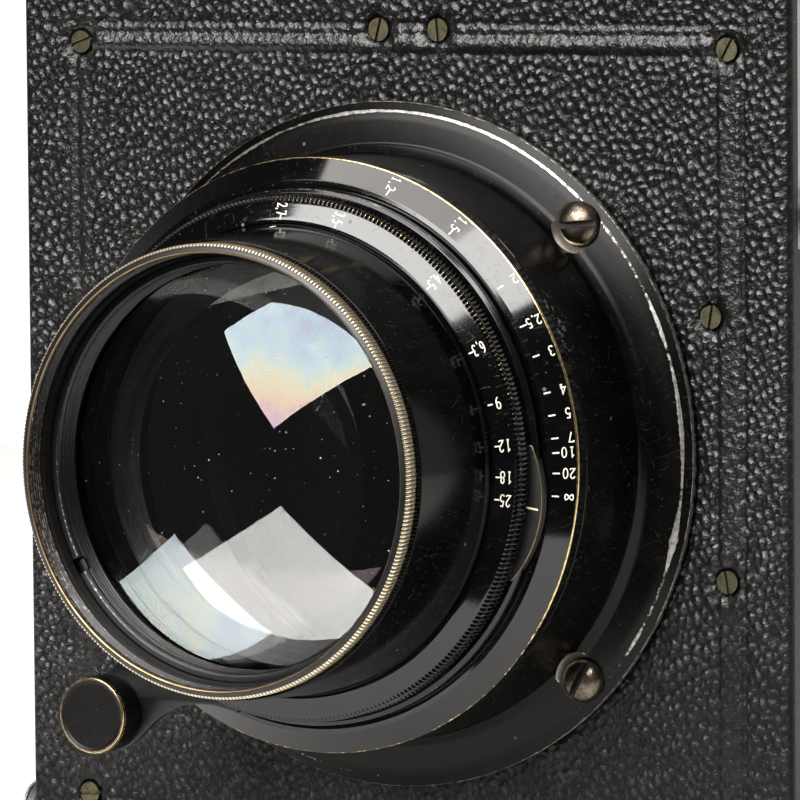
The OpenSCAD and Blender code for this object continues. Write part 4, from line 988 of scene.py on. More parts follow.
def catmull(P, k):
    P = [np.array(p, float) for p in P]
    out = []
    for i in range(len(P) - 1):
        p0 = P[i - 1] if i > 0 else 2 * P[0] - P[1]
        p1, p2 = P[i], P[i + 1]
        p3 = P[i + 2] if i + 2 < len(P) else 2 * P[-1] - P[-2]
        for s in range(k):
            t = s / k
            q = 0.5 * (2 * p1 + (p2 - p0) * t + (2 * p0 - 5 * p1 + 4 * p2 - p3) * t * t + (3 * p1 - p0 - 3 * p2 + p3) * t ** 3)
            out.append((float(q[0]), float(q[1])))
    out.append((float(P[-1][0]), float(P[-1][1])))
    return out


def plate(name, outline, d0, d1, bevel, mat, body, xform=None):
    """A flat plate with rounded edges from a plane outline in lens coordinates."""
    cu = bpy.data.curves.new(name, "CURVE")
    cu.dimensions = "2D"
    cu.fill_mode = "BOTH"
    cu.extrude = ((d1 - d0) / 2 - bevel) * MM
    cu.bevel_depth = bevel * MM
    cu.bevel_resolution = 2
    cu.offset = -bevel * MM
    sp = cu.splines.new("POLY")
    sp.points.add(len(outline) - 1)
    for p, (x, z) in zip(sp.points, outline):
        p.co = (x * MM, z * MM, 0, 1)
    sp.use_cyclic_u = True
    ob = bpy.data.objects.new(name + "_c", cu)
    SCENE.collection.objects.link(ob)
    dg = bpy.context.evaluated_depsgraph_get()
    me = bpy.data.meshes.new_from_object(ob.evaluated_get(dg))
    bpy.data.objects.remove(ob)
    bpy.data.curves.remove(cu)
    dm = (d0 + d1) / 2
    # local x, y, z -> world x, z, forward
    if xform is None:
        xform = Matrix(((1, 0, 0, 0), (0, 0, -1, (FRONT - dm) * MM), (0, 1, 0, AXIS * MM), (0, 0, 0, 1)))
    me.transform(xform)
    me.name = name
    import bmesh
    bm = bmesh.new()
    bm.from_mesh(me)
    bmesh.ops.remove_doubles(bm, verts=bm.verts, dist=1e-6)
    bmesh.ops.recalc_face_normals(bm, faces=bm.faces)
    bm.to_mesh(me)
    bm.free()
    me.polygons.foreach_set("use_smooth", np.ones(len(me.polygons), bool))
    me.set_sharp_from_angle(angle=math.radians(38))
    a = me.attributes.new("wear", "FLOAT", "POINT")
    co = np.empty(len(me.vertices) * 3)
    me.vertices.foreach_get("co", co)
    if xform[1][3] != 0 and abs(xform[1][2]) == 1:
        y = co.reshape(-1, 3)[:, 1] / MM
        edge = np.clip(np.abs(y - (FRONT - dm)) / ((d1 - d0) / 2), 0, 1)
    else:
        edge = np.ones(len(me.vertices))
    a.data.foreach_set("value", (edge * 0.45).astype(np.float32))
    return new_object(name, me, mat, body)


def make_barrel():
    rad = math.radians
    teeth, per = 330, 7

    def knurl_a(RR, DD, AA):
        t = (AA * teeth / (2 * math.pi) + 0.55 * (DD - 22.5)) % 1.0
        g = 1.0 - np.clip((np.abs(2 * t - 1.0) - 0.28) / 0.6, 0, 1)
        side = np.clip((RR - 31.12) / 0.25, 0, 1) * ((DD > 22.45) & (DD < 25.34))
        return RR - 0.52 * (1 - g) * side, DD

    def wear_a(R, D, A):
        front = (D > 24.7) * (R > 31.45)
        return 0.25 + front * (0.55 * lobe(A, rad(70), 75) + 0.3)

    lathe("v_aperture_ring", [(28.48, 22.5), (31.25, 22.5, 0.1), (31.7, 22.9, 0.1, 0.4), (31.7, 24.75, 0.12, 1.0), (31.56, 25.03, 0.05, 0.9), (31.12, 25.36, 0.1, 0.4),
                              (28.92, 26.15, 0.12, 0.35), (28.48, 26.2, 0.1)],
          MATS["band"], "aperture_unit", "black_lacquer", n=teeth * per, replaces=("aperture_ring",), seg=3, change=knurl_a, wear_fn=wear_a,
          normals=False, sharp=24)
    V, Q = [], []
    r0, d0, r1, d1 = 31.12, 25.36, 28.92, 26.15
    for text, phi in (("25", -6.8), ("18", -1.6), ("12", 5.5), ("9", 15.2), ("6,3", 28.1), ("4,5", 46.7), ("3,5", 75.6), ("2,7", 90.8)):
        wide = 1.0 if len(text) < 3 else 0.86
        f = cone_place(rad(phi), 0.0, -0.68, r0, d0, r1, d1, 30.85 if len(text) > 1 else 30.5)
        write(text, 1.36, 0.135, f, V, Q, wx=0.6 * wide)
        g = cone_place(rad(phi), 0.0, 0.0, r0, d0, r1, d1, 29.62 if len(text) < 3 else 29.5)
        ribbon([(0.0, 0.0), (0.6, 0.0)], 0.16, g, V, Q)
    marks_object("v_aperture_marks", V, Q, MATS["ink"], "aperture_unit")

    def wear_b(R, D, A):
        return 0.35 + 0.3 * lobe(A, rad(95), 60)

    P = [(27.2, -6), (29.8, -6, 0.2), (29.8, 22.4, 0.2), (28.4, 22.4), (28.4, 26.3, 0.2, 0.3), (28.2, 27.0, 0.3, 0.2), (27.3, 40.3, 0.1, 0.6), (26.1, 40.3), (26.1, 37.2), (24.6, 37.2, 0.1, 0.5)]
    P += [(24.6, 30.2), (23.4, 30.2), (23.4, 24), (21.3, 24, 0.15, 0.2), (21.3, 12), (25, 12), (25, 8), (27.2, 8)]
    lathe("v_lens_barrel", P, MATS["barrel"], "lens_unit", "black_lacquer", n=256, replaces=("lens_barrel",), seg=4, wear_fn=wear_b)
    V, Q = [], []
    # diamond index on the barrel
    def on_barrel(u, v, h):
        a = rad(90.9) - v / 27.95
        d = 27.0 + 0.75 + u
        r = 28.2 - 0.9 * (d - 27.0) / 13.3 + h
        return (r * math.cos(a), FRONT - d, AXIS + r * math.sin(a))

    ribbon([(-0.45, 0), (0.0, 0.0), (0.55, 0)], 0.34, on_barrel, V, Q, top=0.02)
    ribbon([(0.0, -0.2), (0.0, 0.2)], 0.5, on_barrel, V, Q, top=0.021)
    marks_object("v_aperture_index", V, Q, MATS["ink_cream"], "lens_unit")

    # milled front rim with its filter thread
    teeth_r, per_r = 348, 6

    def mill(RR, DD, AA):
        t = (AA * teeth_r / (2 * math.pi)) % 1.0
        b = np.sqrt(np.clip(1.0 - (np.abs(2 * t - 1.0) / 0.86) ** 2, 0.0, 1.0))
        side = np.clip((RR - 26.62) / 0.16, 0, 1)
        return RR - 0.24 * (1 - b) * side, DD - 0.12 * (1 - b) * np.clip((DD - 42.45) / 0.2, 0, 1) * side

    def wear_r(R, D, A):
        return np.ones_like(R)

    P = [(25.4, 38.6), (25.4, 40.05), (25.75, 40.05)]
    d = 40.5
    while d < 42.3:
        P += [(25.75, d), (25.98, d + 0.2), (25.75, d + 0.38)]
        d += 0.46
    P += [(25.75, 42.62), (25.98, 42.95, 0.08, 1.0), (26.12, 42.95, 0.05, 0.4), (26.62, 42.72, 0.1, 1.2), (26.95, 42.42, 0.16, 1.3), (27.0, 42.15, 0.1, 1.2), (27.0, 41.0, 0.12, 1.2),
          (26.7, 40.4), (26.05, 40.4), (26.05, 38.6)]
    V, Q, N, W = lathe_arrays(P, teeth_r * per_r, seg=2, change=mill, wear_fn=wear_r)
    Vm = V.reshape(-1, 3)
    c = Vm[Q].mean(1)
    rr = np.hypot(c[:, 0], c[:, 2] - AXIS)
    dd = FRONT - c[:, 1]
    mi = np.where((rr > 26.66), 0, np.where((rr > 25.8) & (rr < 26.0) & (dd > 42.75), 2, 1))
    ang = np.arctan2(V[:, 2] - AXIS, V[:, 0])
    tt = (ang * teeth_r / (2 * math.pi)) % 1.0
    # gap marks the recesses between the milled teeth; the rim material paints them near-black and non-metallic, a
    # painted shade.
    gap = np.clip((np.abs(2 * tt - 1.0) - 0.55) / 0.3, 0, 1) * (np.hypot(V[:, 0], V[:, 2] - AXIS) > 26.6)
    rv, dv = np.hypot(Vm[:, 0], Vm[:, 2] - AXIS), FRONT - Vm[:, 1]
    # Thread crests on the inner wall are worn to metal; the extra wear at the lower left (lobe near 195 degrees) is a
    # painted highlight standing in for a reflection there.
    crest_wear_and_highlight = np.where((rv < 25.83) & (dv > 40.3), 0.52 + 0.2 * lobe(np.arctan2(Vm[:, 2] - AXIS, Vm[:, 0]), rad(195), 40), 0.15)
    me = grid_mesh("v_front_rim", V, Q, None, {"wear": crest_wear_and_highlight.reshape(W.shape), "gap": gap}, sharp=34, index=mi)
    new_object("v_front_rim", me, [MATS["rim"], MATS["rim_in"], MATS["edge_brass"]], "lens_unit", ("front_rim",))

    # spanner ring that holds the front glass
    def notch(RR, DD, AA):
        near = np.maximum(lobe(AA, rad(210), 1.9), lobe(AA, rad(30), 1.9)) > 0
        return RR, np.where(near & (DD > 38.0), DD - 0.8, DD)

    P = [(24.2, 35.0)]
    d = 35.3
    while d < 38.0:
        P += [(24.22, d), (24.4, d + 0.2), (24.24, d + 0.4)]
        d += 0.55
    P += [(24.27, 38.1, 0.05, 0.8), (24.55, 38.5, 0.08, 1.1), (25.35, 38.5, 0.1, 0.5), (25.65, 38.2, 0.1, 0.3), (25.65, 37.25), (24.5, 37.25), (24.5, 35.0)]
    # Its front edge is worn to bright metal; the extra wear at the lower left (lobe near 200 degrees) is a painted
    # highlight.
    lathe("v_front_retaining_ring", P, MATS["cell"], "lens_unit", "black_metal", n=480, replaces=("front_retaining_ring",), seg=2, change=notch,
          normals=False, sharp=30, wear_fn=lambda R, D, A: 0.45 + 0.2 * lobe(A, rad(200), 60))


def ball(r, vertex, radius, sign, n):
    """Arc of a lens surface from the axis to the edge; sign 1 bulges to +d at the axis, -1 to -d."""
    pts = []
    for i in range(n + 1):
        q = r * i / n
        pts.append((max(q, 0.01), vertex - sign * (radius - math.sqrt(radius * radius - q * q)), q / radius * sign))
    return pts


def make_glass(name, body, r, front, back, mat, replaces, n=128, m=28):
    """front and back: (vertex d, radius or 0, sign)."""
    rows = []
    for (d, radius, sign), face in ((front, 1.0), (back, -1.0)):
        if radius:
            pts = ball(r, d, radius, sign, m)
            part = [(q, dd, s, math.sqrt(max(0.0, 1 - s * s))) for q, dd, s in pts]
            part = [(q, dd, nr, nd) if face > 0 else (q, dd, -nr, -nd) for q, dd, nr, nd in part]
        else:
            part = [(max(r * i / m, 0.01), d, 0.0, face) for i in range(m + 1)]
        rows.append(part)
    f, b = rows
    seq = f + [(r, f[-1][1], 1.0, 0.0), (r, b[-1][1], 1.0, 0.0)] + b[::-1]
    k1, k2 = len(f) - 1, len(f) + 1
    a = np.linspace(0, 2 * math.pi, n, endpoint=False)
    R = np.array([s[0] for s in seq])[:, None]
    D = np.array([s[1] for s in seq])[:, None]
    NR = np.array([s[2] for s in seq])[:, None]
    ND = np.array([s[3] for s in seq])[:, None]
    V = np.stack([R * np.cos(a), np.broadcast_to(FRONT - D, (len(seq), n)), AXIS + R * np.sin(a)], -1).reshape(-1, 3)
    N = np.stack([NR * np.cos(a), np.broadcast_to(-ND, (len(seq), n)), NR * np.sin(a)], -1).reshape(-1, 3)
    Q, mi = [], []
    j = np.arange(n)
    j2 = (j + 1) % n
    for i in range(len(seq) - 1):
        if i in (k1, k2):
            continue
        Q.append(np.stack([i * n + j, i * n + j2, (i + 1) * n + j2, (i + 1) * n + j], -1))
        mi += [1 if i == k1 + 1 else 0] * n
    Q = np.concatenate(Q)
    mi = np.array(mi)
    # close the tiny axis holes
    V = np.vstack([V, [[0, FRONT - f[0][1], AXIS], [0, FRONT - b[0][1], AXIS]]])
    N = np.vstack([N, [[0, -1, 0], [0, 1, 0]]])
    me = bpy.data.meshes.new(name)
    c0, c1 = len(V) - 2, len(V) - 1
    last = (len(seq) - 1) * n
    V1, V2, V3 = V[Q[0][0]], V[Q[0][1]], V[Q[0][2]]
    flip = np.cross(V2 - V1, V3 - V1) @ (N[Q[0][0]] + N[Q[0][2]]) < 0
    if flip:
        Q = Q[:, ::-1]
    faces = [tuple(q) for q in Q.tolist()]
    for k in range(n):
        t = (c0, k, (k + 1) % n)
        u = (c1, last + (k + 1) % n, last + k)
        faces.append(t if np.cross(V[t[1]] - V[t[0]], V[t[2]] - V[t[0]]) @ N[c0] > 0 else t[::-1])
        faces.append(u if np.cross(V[u[1]] - V[u[0]], V[u[2]] - V[u[0]]) @ N[c1] > 0 else u[::-1])
    me.from_pydata((V * MM).tolist(), [], faces)
    me.polygons.foreach_set("use_smooth", np.ones(len(me.polygons), bool))
    me.polygons.foreach_set("material_index", np.concatenate([mi, np.zeros(2 * n, int)]).astype(np.int32))
    me.normals_split_custom_set_from_vertices(N.tolist())
    a_ = me.attributes.new("wear", "FLOAT", "POINT")
    new_object(name, me, [mat, MATS["cell"]], body, replaces)


def glasses():
    make_glass("v_front_element", "lens_unit", 24.45, (39.8, 50.0, 1), (30.6, 0, 1), MATS["front_glass"], ("front_element",))
    make_glass("v_second_element", "lens_unit", 23.3, (30.0, 70.0, 1), (24.3, 0, 1), MATS["coated_glass"], ("second_element",))
    make_glass("v_third_element", "lens_unit", 21.1, (15.95, 95.0, -1), (12.4 + 1.9, 66.0, 1), MATS["dense_glass"], ("third_element",))
    make_glass("v_rear_element", "lens_unit", 22.3, (5.6, 60.0, 1), (-3.0, 90.0, -1), MATS["glass"], ("rear_element",))


# ------------------------------------------------------------------ leather panel
def jitter_cells(U, Wc, seed, size=1.0):
    """Cell pattern: for each point the nearest and second nearest jittered site; returns f1, f2, random height."""
    rg = np.random.default_rng(seed)
    K = 256
    jx, jz, jh = rg.random((K, K)), rg.random((K, K)), rg.random((K, K))
    u, w = U / size, Wc / size
    iu, iw = np.floor(u).astype(int), np.floor(w).astype(int)
    f1 = np.full(U.shape, 9.0)
    f2 = np.full(U.shape, 9.0)
    hh = np.zeros(U.shape)
    for du in (-1, 0, 1):
        for dw in (-1, 0, 1):
            a, b = (iu + du) % K, (iw + dw) % K
            sx = iu + du + 0.5 + 0.82 * (jx[a, b] - 0.5)
            sz = iw + dw + 0.5 + 0.82 * (jz[a, b] - 0.5)
            dist = np.hypot(u - sx, w - sz)
            near = dist < f1
            f2 = np.where(near, f1, np.minimum(f2, dist))
            hh = np.where(near, jh[a, b], hh)
            f1 = np.where(near, dist, f1)
    return f1, f2, hh


def value_noise(X, Z, scale, seed):
    rg = np.random.default_rng(seed)
    K = 64
    g = rg.random((K, K))
    u, w = X / scale, Z / scale
    iu, iw = np.floor(u).astype(int), np.floor(w).astype(int)
    fu, fw = u - iu, w - iw
    fu, fw = fu * fu * (3 - 2 * fu), fw * fw * (3 - 2 * fw)
    q = lambda a, b: g[a % K, b % K]
    return (q(iu, iw) * (1 - fu) * (1 - fw) + q(iu + 1, iw) * fu * (1 - fw) + q(iu, iw + 1) * (1 - fu) * fw + q(iu + 1, iw + 1) * fu * fw)


def smooth(x, a, b):
    t = np.clip((x - a) / (b - a), 0, 1)
    return t * t * (3 - 2 * t)


def pebbles(X, Z, seed, slant=-57.0, size=1.06, stretch=1.25, rows=0.9):
    """Height 0..1 of a pebbled grain with creases between the pebbles."""
    warp_x = X + 1.0 * (value_noise(X, Z, 4.1, seed + 3) - 0.5) + 0.3 * (value_noise(X, Z, 1.3, seed + 5) - 0.5)
    warp_z = Z + 1.0 * (value_noise(X, Z, 4.3, seed + 4) - 0.5) + 0.3 * (value_noise(X, Z, 1.4, seed + 6) - 0.5)
    a = math.radians(slant)
    U = (warp_x * math.cos(a) + warp_z * math.sin(a)) / stretch
    W = -warp_x * math.sin(a) + warp_z * math.cos(a)
    f1, f2, hh = jitter_cells(U, W, seed, size)
    edge = f2 - f1
    body = smooth(edge, 0.0, 0.42)
    dome = np.clip(1.0 - (f1 / 0.85) ** 2, 0, 1)
    h = body * (0.45 + 0.55 * dome) * (0.62 + 0.38 * hh)
    # long creases between the rows of pebbles
    ph = W / 1.25 + 0.4 * (value_noise(X, Z, 2.6, seed + 9) - 0.5)
    crease = np.exp(-((ph - np.round(ph)) / 0.17) ** 2) * smooth(value_noise(X, Z, 1.7, seed + 12), 0.28, 0.55)
    return h * (1.0 - rows * crease)


def make_leather():
    step = 0.28
    half, top = 54.5, 112.0
    edge = [0.0, 0.06, 0.16, 0.3, 0.5]
    xs = np.concatenate([-half + np.array(edge), np.arange(-half + 0.78, half - 0.7, step), half - np.array(edge)[::-1]])
    zs = np.concatenate([np.array(edge), np.arange(0.78, top - 0.7, step), top - np.array(edge)[::-1]])
    X, Z = np.meshgrid(xs, zs)
    xl, zl = X, Z - AXIS
    t = np.minimum(np.minimum(half - np.abs(X), Z), top - Z)
    # bead centre lines
    bx = np.abs(xl) - 46.4
    bz_t, bz_b = zl - 49.8, -(zl + 48.6)
    dist = np.maximum(bx, np.maximum(bz_t, bz_b))  # signed distance from the centre line of the bead, inside negative
    h = pebbles(X, Z, 11)
    h2 = pebbles(X, Z, 37, slant=-62, size=0.74, stretch=1.9, rows=0.9)
    low = value_noise(X, Z, 9.0, 5)
    flow = smooth(-zl, 16.0, 44.0) * (0.6 + 0.4 * low)
    amp = 0.46 - 0.10 * smooth(-zl, 25, 50)
    pebble = amp * (h * (1 - 0.45 * flow) + h2 * 0.45 * flow) + 0.03 * (value_noise(X, Z, 0.5, 8) - 0.5)
    fl = 1.0 - smooth(np.abs(dist), 1.35, 2.0)          # on the bead itself
    calm = 1.0 - 0.62 * (1.0 - smooth(np.abs(dist), 1.2, 2.3))
    H = (pebble - 0.10) * calm
    topband = (bz_t > bx) & (bz_t > bz_b)
    ridge = np.clip(1.0 - ((dist + 0.65) / 1.0) ** 2, 0, 1) * 0.8 + 0.22 * np.clip(1.0 - ((dist - 1.35) / 0.6) ** 2, 0, 1)
    groove = np.exp(-((np.abs(dist) - 1.85) / 0.33) ** 2)
    side = smooth(bx - np.maximum(bz_t, bz_b), -1.0, 1.0)
    flat = 1.0 - smooth(np.abs(dist), 1.15, 1.62)
    left = smooth(-xl, 0.0, 10.0)
    sunk = np.clip(1.0 - ((dist - 0.2) / 0.62) ** 2, 0, 1)
    prof = (1 - side) * ridge * 0.46 + side * ((1 - left) * flat * 0.10 - left * sunk * 0.16)
    groove = groove * (1 - 0.8 * side * left)
    wob = 0.85 + 0.3 * value_noise(X, Z, 4.0, 21)
    H = H + prof * wob - 0.22 * groove * wob
    # screws: puckers round each recess
    screws = [(-46, 49.1), (-2.3, 50.9), (6.1, 50.9), (46, 48.8), (43.7, 16.8), (45.8, -15), (-46, -46.3), (46, -46.3), (-45.8, 15), (-45.8, -16), (-4, -50), (5, -50)]
    for k, (sx, sz) in enumerate(screws):
        dx, dz = xl - sx, zl - sz
        rr = np.hypot(dx, dz)
        near = rr < 7.0
        a = np.arctan2(dz, dx)
        ray = np.cos(a * (5 + k % 3) + k * 1.3 + 0.6 * np.sin(2 * a)) * 0.5 + 0.5 * np.cos(a * (8 + k % 2) + k * 2.1)
        fold = np.exp(-((rr - 2.6) / 1.5) ** 2) * 0.11 * ray
        dish = -0.16 * np.exp(-((rr - 1.9) / 0.75) ** 2) + 0.12 * np.exp(-((rr - 3.1) / 0.8) ** 2)
        H = np.where(near, H * (1 - 0.5 * np.exp(-(rr / 2.4) ** 2)) + fold + dish, H)
        hole = smooth(rr, 1.5, 1.82)
        H = np.where(near, H * hole - 0.92 * (1 - hole), H)
    # a shallow dip just outside the flange, and a pressed zone round the flange
    rr = np.hypot(xl, zl)
    H = H - 0.05 * np.exp(-((rr - 42.6) / 0.5) ** 2)
    H = H * smooth(rr, 41.2, 42.3) - 0.02 * (1 - smooth(rr, 41.2, 42.3))
    # outer edge of the panel
    R = 0.75
    drop = np.where(t < R, R - np.sqrt(np.clip(R * R - (R - np.minimum(t, R)) ** 2, 0, None)), 0.0)
    H = np.clip(H, -0.95, 0.42) * smooth(t, 0.1, 1.1) - drop
    # round corners in plan, radius 1.5
    PX, PZ = X.copy(), Z.copy()
    rc = 1.5
    for sx in (-1, 1):
        for z0, sz in ((rc, -1), (top - rc, 1)):
            cx = sx * (half - rc)
            u, v = (X - cx) * sx, (Z - z0) * sz
            m = (u > 0) & (v > 0)
            s = np.maximum(u, v)
            hyp = np.hypot(u, v)
            k = np.where(hyp > 1e-9, s / np.maximum(hyp, 1e-9), 1.0)
            PX = np.where(m, cx + sx * u * k, PX)
            PZ = np.where(m, z0 + sz * v * k, PZ)
    nz, nx = X.shape
    Vt = np.stack([PX, FRONT - H, PZ], -1)
    inside = rr < 41.35
    idx = np.arange(nx * nz).reshape(nz, nx)
    q = np.stack([idx[:-1, :-1], idx[:-1, 1:], idx[1:, 1:], idx[1:, :-1]], -1).reshape(-1, 4)
    keep = ~(inside.reshape(-1)[q].all(1))
    q = q[keep]
    V = Vt.reshape(-1, 3)
    tops_and_low_shade = np.clip((h * (1 - flow) + h2 * flow), 0, 1).reshape(-1) * np.clip(smooth(t, 0.0, 0.8).reshape(-1) + 0.3, 0, 1)
    # The factor that falls towards the bottom right makes the tops count for less there, so that leather is darker and
    # duller: painted shade where less light falls.
    tops_and_low_shade = np.maximum(tops_and_low_shade, (0.6 * fl * (1 - side * 0.5)).reshape(-1)) * (1.0 - 0.55 * smooth(-zl + 0.25 * xl, 8.0, 42.0)).reshape(-1)
    # skirt: from the rounded edge down to the board
    loop = np.concatenate([idx[0, :], idx[1:, -1], idx[-1, -2::-1], idx[-2:0:-1, 0]])
    sk = V[loop].copy()
    sk[:, 1] = FRONT + 1.0
    base = len(V)
    V = np.vstack([V, sk])
    n = len(loop)
    j = np.arange(n)
    sq = np.stack([loop, base + j, base + (j + 1) % n, loop[(j + 1) % n]], -1)
    # plain ring under the flange
    base2 = len(V)
    nn = 192
    a = np.linspace(0, 2 * math.pi, nn, endpoint=False)
    rows = []
    for r, d in ((34.42, -1.0), (34.42, -0.06), (38.0, -0.03), (42.0, -0.03)):
        rows.append(np.stack([r * np.cos(a), np.full(nn, FRONT - d), AXIS + r * np.sin(a)], -1))
    V = np.vstack([V] + rows)
    rq = []
    j = np.arange(nn)
    for i in range(3):
        rq.append(np.stack([base2 + i * nn + j, base2 + (i + 1) * nn + j, base2 + (i + 1) * nn + (j + 1) % nn, base2 + i * nn + (j + 1) % nn], -1))
    Q = np.vstack([q, sq] + rq)
    tops = np.concatenate([tops_and_low_shade, np.zeros(n), np.zeros(4 * nn)])
    used = np.unique(Q)
    remap = np.full(len(V), -1)
    remap[used] = np.arange(len(used))
    V, Q, tops = V[used], remap[Q], tops[used]
    # orient faces forward
    g = np.cross(V[Q[:, 1]] - V[Q[:, 0]], V[Q[:, 2]] - V[Q[:, 0]])
    flip = g[:, 1] > 0
    Q[flip] = Q[flip][:, ::-1]
    me = grid_mesh("v_front_leather", V, Q, None, {"top": tops})
    me.set_sharp_from_angle(angle=math.radians(75))
    new_object("v_front_leather", me, MATS["leather"], "front_standard", ("front_leather",))
    print("leather quads", len(Q))


# ------------------------------------------------------------------ other soft pieces
def make_bellows():
    """Pleated leather U, open at the top, between the two bellows frames."""
    y0, y1, n = -69.5, -12.5, 14
    pitch = (y1 - y0) / n
    # U path: left wall down, bottom, right wall up, with round corners
    def path(inset):
        w, zb, r = 51.0 - inset, 3.0 + inset, 7.0
        pts = []
        for z in np.linspace(111.0, zb + r, 40):
            pts.append((-w, z))
        for a in np.linspace(180, 270, 12)[1:]:
            pts.append((-w + r + r * math.cos(math.radians(a)), zb + r + r * math.sin(math.radians(a))))
        for x in np.linspace(-w + r, w - r, 40)[1:]:
            pts.append((x, zb))
        for a in np.linspace(270, 360, 12)[1:]:
            pts.append((w - r + r * math.cos(math.radians(a)), zb + r + r * math.sin(math.radians(a))))
        for z in np.linspace(zb + r, 111.0, 40)[1:]:
            pts.append((w, z))
        return np.array(pts)

    ys, ins = [], []
    for i in range(n):
        a = y0 + i * pitch
        for t, k in ((0.0, 4.6), (0.12, 4.3), (0.42, 0.35), (0.5, 0.05), (0.58, 0.35), (0.88, 4.3)):
            ys.append(a + t * pitch)
            ins.append(k)
    ys.append(y1)
    ins.append(4.6)
    rows = []
    rg = np.random.default_rng(5)
    for y, k in zip(ys, ins):
        p = path(k)
        jit = 0.12 * np.sin(np.arange(len(p)) * 0.21 + y) if 1 < k < 4.5 else 0.0
        rows.append(np.stack([p[:, 0], np.full(len(p), y) + jit, p[:, 1]], -1))
    outer = np.array(rows)
    m = outer.shape[1]
    inner = []
    for y, k in zip(ys, ins):
        p = path(min(k + 0.7, 4.95))
        inner.append(np.stack([p[:, 0], np.full(len(p), y), p[:, 1]], -1))
    inner = np.array(inner)
    R = len(ys)
    V = np.vstack([outer.reshape(-1, 3), inner.reshape(-1, 3)])
    idx = np.arange(R * m).reshape(R, m)
    o = np.stack([idx[:-1, :-1], idx[:-1, 1:], idx[1:, 1:], idx[1:, :-1]], -1).reshape(-1, 4)
    i2 = o[:, ::-1] + R * m
    e = []
    for c in (0, m - 1):
        for i in range(R - 1):
            q = (idx[i, c], idx[i + 1, c], idx[i + 1, c] + R * m, idx[i, c] + R * m)
            e.append(q if c == 0 else q[::-1])
    for rr_ in (0, R - 1):
        for i in range(m - 1):
            q = (idx[rr_, i], idx[rr_, i] + R * m, idx[rr_, i + 1] + R * m, idx[rr_, i + 1])
            e.append(q if rr_ == 0 else q[::-1])
    Q = np.vstack([o, i2, np.array(e)])
    me = grid_mesh("v_bellows", V, Q)
    import bmesh
    bm = bmesh.new()
    bm.from_mesh(me)
    bmesh.ops.recalc_face_normals(bm, faces=bm.faces)
    bm.to_mesh(me)
    bm.free()
    me.set_sharp_from_angle(angle=math.radians(50))
    ob = new_object("v_bellows", me, MATS["bellows"], "body", ("bellows",))
    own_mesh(ob)
    return ob


def make_side_leather():
    """Pebbled skin on each side of the shutter body, round the fittings."""
    parts = []
    for sx in (1, -1):
        st = 0.5
        ys = np.concatenate([[-11.0, -10.9, -10.7], np.arange(-10.4, 25.7, st), [25.75, 25.9, 26.0]])
        zs = np.concatenate([[2.0, 2.1, 2.3], np.arange(2.6, 109.5, st), [109.7, 109.9, 110.0]])
        Y, Z = np.meshgrid(ys, zs)
        h = pebbles(Y, Z, 71 + sx)
        t = np.minimum(np.minimum(Y + 11, 26 - Y), np.minimum(Z - 2, 110 - Z))
        holes = []
        if sx > 0:
            holes = [(15.0, 86.95, 13.1), (15.7, 27.0, 3.2), (10.0, 62.0, 2.3)]
        X = 0.5 - 0.22 + 0.2 * h * smooth(t, 0.2, 1.5)
        X = X - 0.28 * (1 - smooth(t, 0.0, 0.35))
        keep = np.ones(Y.shape, bool)
        for (hy, hz, hr) in holes + [(-7.0, 5.0, 3.6)]:
            d = np.hypot(Y - hy, Z - hz)
            m = (d > hr * 0.25) & (d < hr + 0.36)
            k = np.where(m & (d < hr + 0.30), hr / np.maximum(d, 1e-6), 1.0)
            inner = d < hr - 0.05
            Y = np.where((d < hr + 0.25) & (d > 1e-6), hy + (Y - hy) * np.maximum(1.0, hr / np.maximum(d, 1e-6)), Y)
            Z = np.where((d < hr + 0.25) & (d > 1e-6), hz + (Z - hz) * np.maximum(1.0, hr / np.maximum(d, 1e-6)), Z)
            keep &= ~(d < hr - 0.36)
            X = np.where(d < hr + 0.3, X - 0.15, X)
        z0s, z1s = SLOT
        cut = (Y > -11.0) & (Y < -3.5) & (Z > z0s - 3.0) & (Z < z1s + 3.0)
        keep &= ~cut
        if sx < 0:
            for zz in (24, 86):
                keep &= ~((np.abs(Y - 13) < 6.1) & (np.abs(Z - zz) < 3.6))
        nz, ny = Y.shape
        idx = np.arange(nz * ny).reshape(nz, ny)
        q = np.stack([idx[:-1, :-1], idx[:-1, 1:], idx[1:, 1:], idx[1:, :-1]], -1).reshape(-1, 4)
        kk = keep.reshape(-1)[q].all(1)
        # faces fully collapsed inside a round hole are dropped
        q = q[kk]
        V = np.stack([sx * (54.0 + X), Y, Z], -1).reshape(-1, 3)
        area = np.linalg.norm(np.cross(V[q[:, 2]] - V[q[:, 0]], V[q[:, 3]] - V[q[:, 1]]), axis=1)
        q = q[area > 0.02]
        g = np.cross(V[q[:, 1]] - V[q[:, 0]], V[q[:, 2]] - V[q[:, 0]])
        fl = g[:, 0] * sx < 0
        q[fl] = q[fl][:, ::-1]
        # open borders get a skirt down to the shell
        from collections import Counter
        ed = Counter()
        for a, b in ((0, 1), (1, 2), (2, 3), (3, 0)):
            for i, j in zip(q[:, a].tolist(), q[:, b].tolist()):
                ed[(i, j)] += 1
        bd = [e for e in ed if (e[1], e[0]) not in ed]
        ids = sorted({i for e in bd for i in e})
        low = {v: len(V) + k for k, v in enumerate(ids)}
        S = V[ids].copy()
        S[:, 0] = sx * 54.0
        V = np.vstack([V, S])
        sq = np.array([(i, low[i], low[j], j) for i, j in bd])
        Q = np.vstack([q, sq])
        tp = np.concatenate([np.clip(h, 0, 1).reshape(-1), np.zeros(len(ids))])
        used = np.unique(Q)
        remap = np.full(len(V), -1)
        remap[used] = np.arange(len(used))
        parts.append((V[used], remap[Q], tp[used]))
    V = np.vstack([parts[0][0], parts[1][0]])
    Q = np.vstack([parts[0][1], parts[1][1] + len(parts[0][0])])
    me = grid_mesh("v_body_leather", V, Q, None, {"top": np.concatenate([parts[0][2], parts[1][2]])})
    me.set_sharp_from_angle(angle=math.radians(70))
    new_object("v_body_leather", me, MATS["leather"], "body", ("body_leather",))


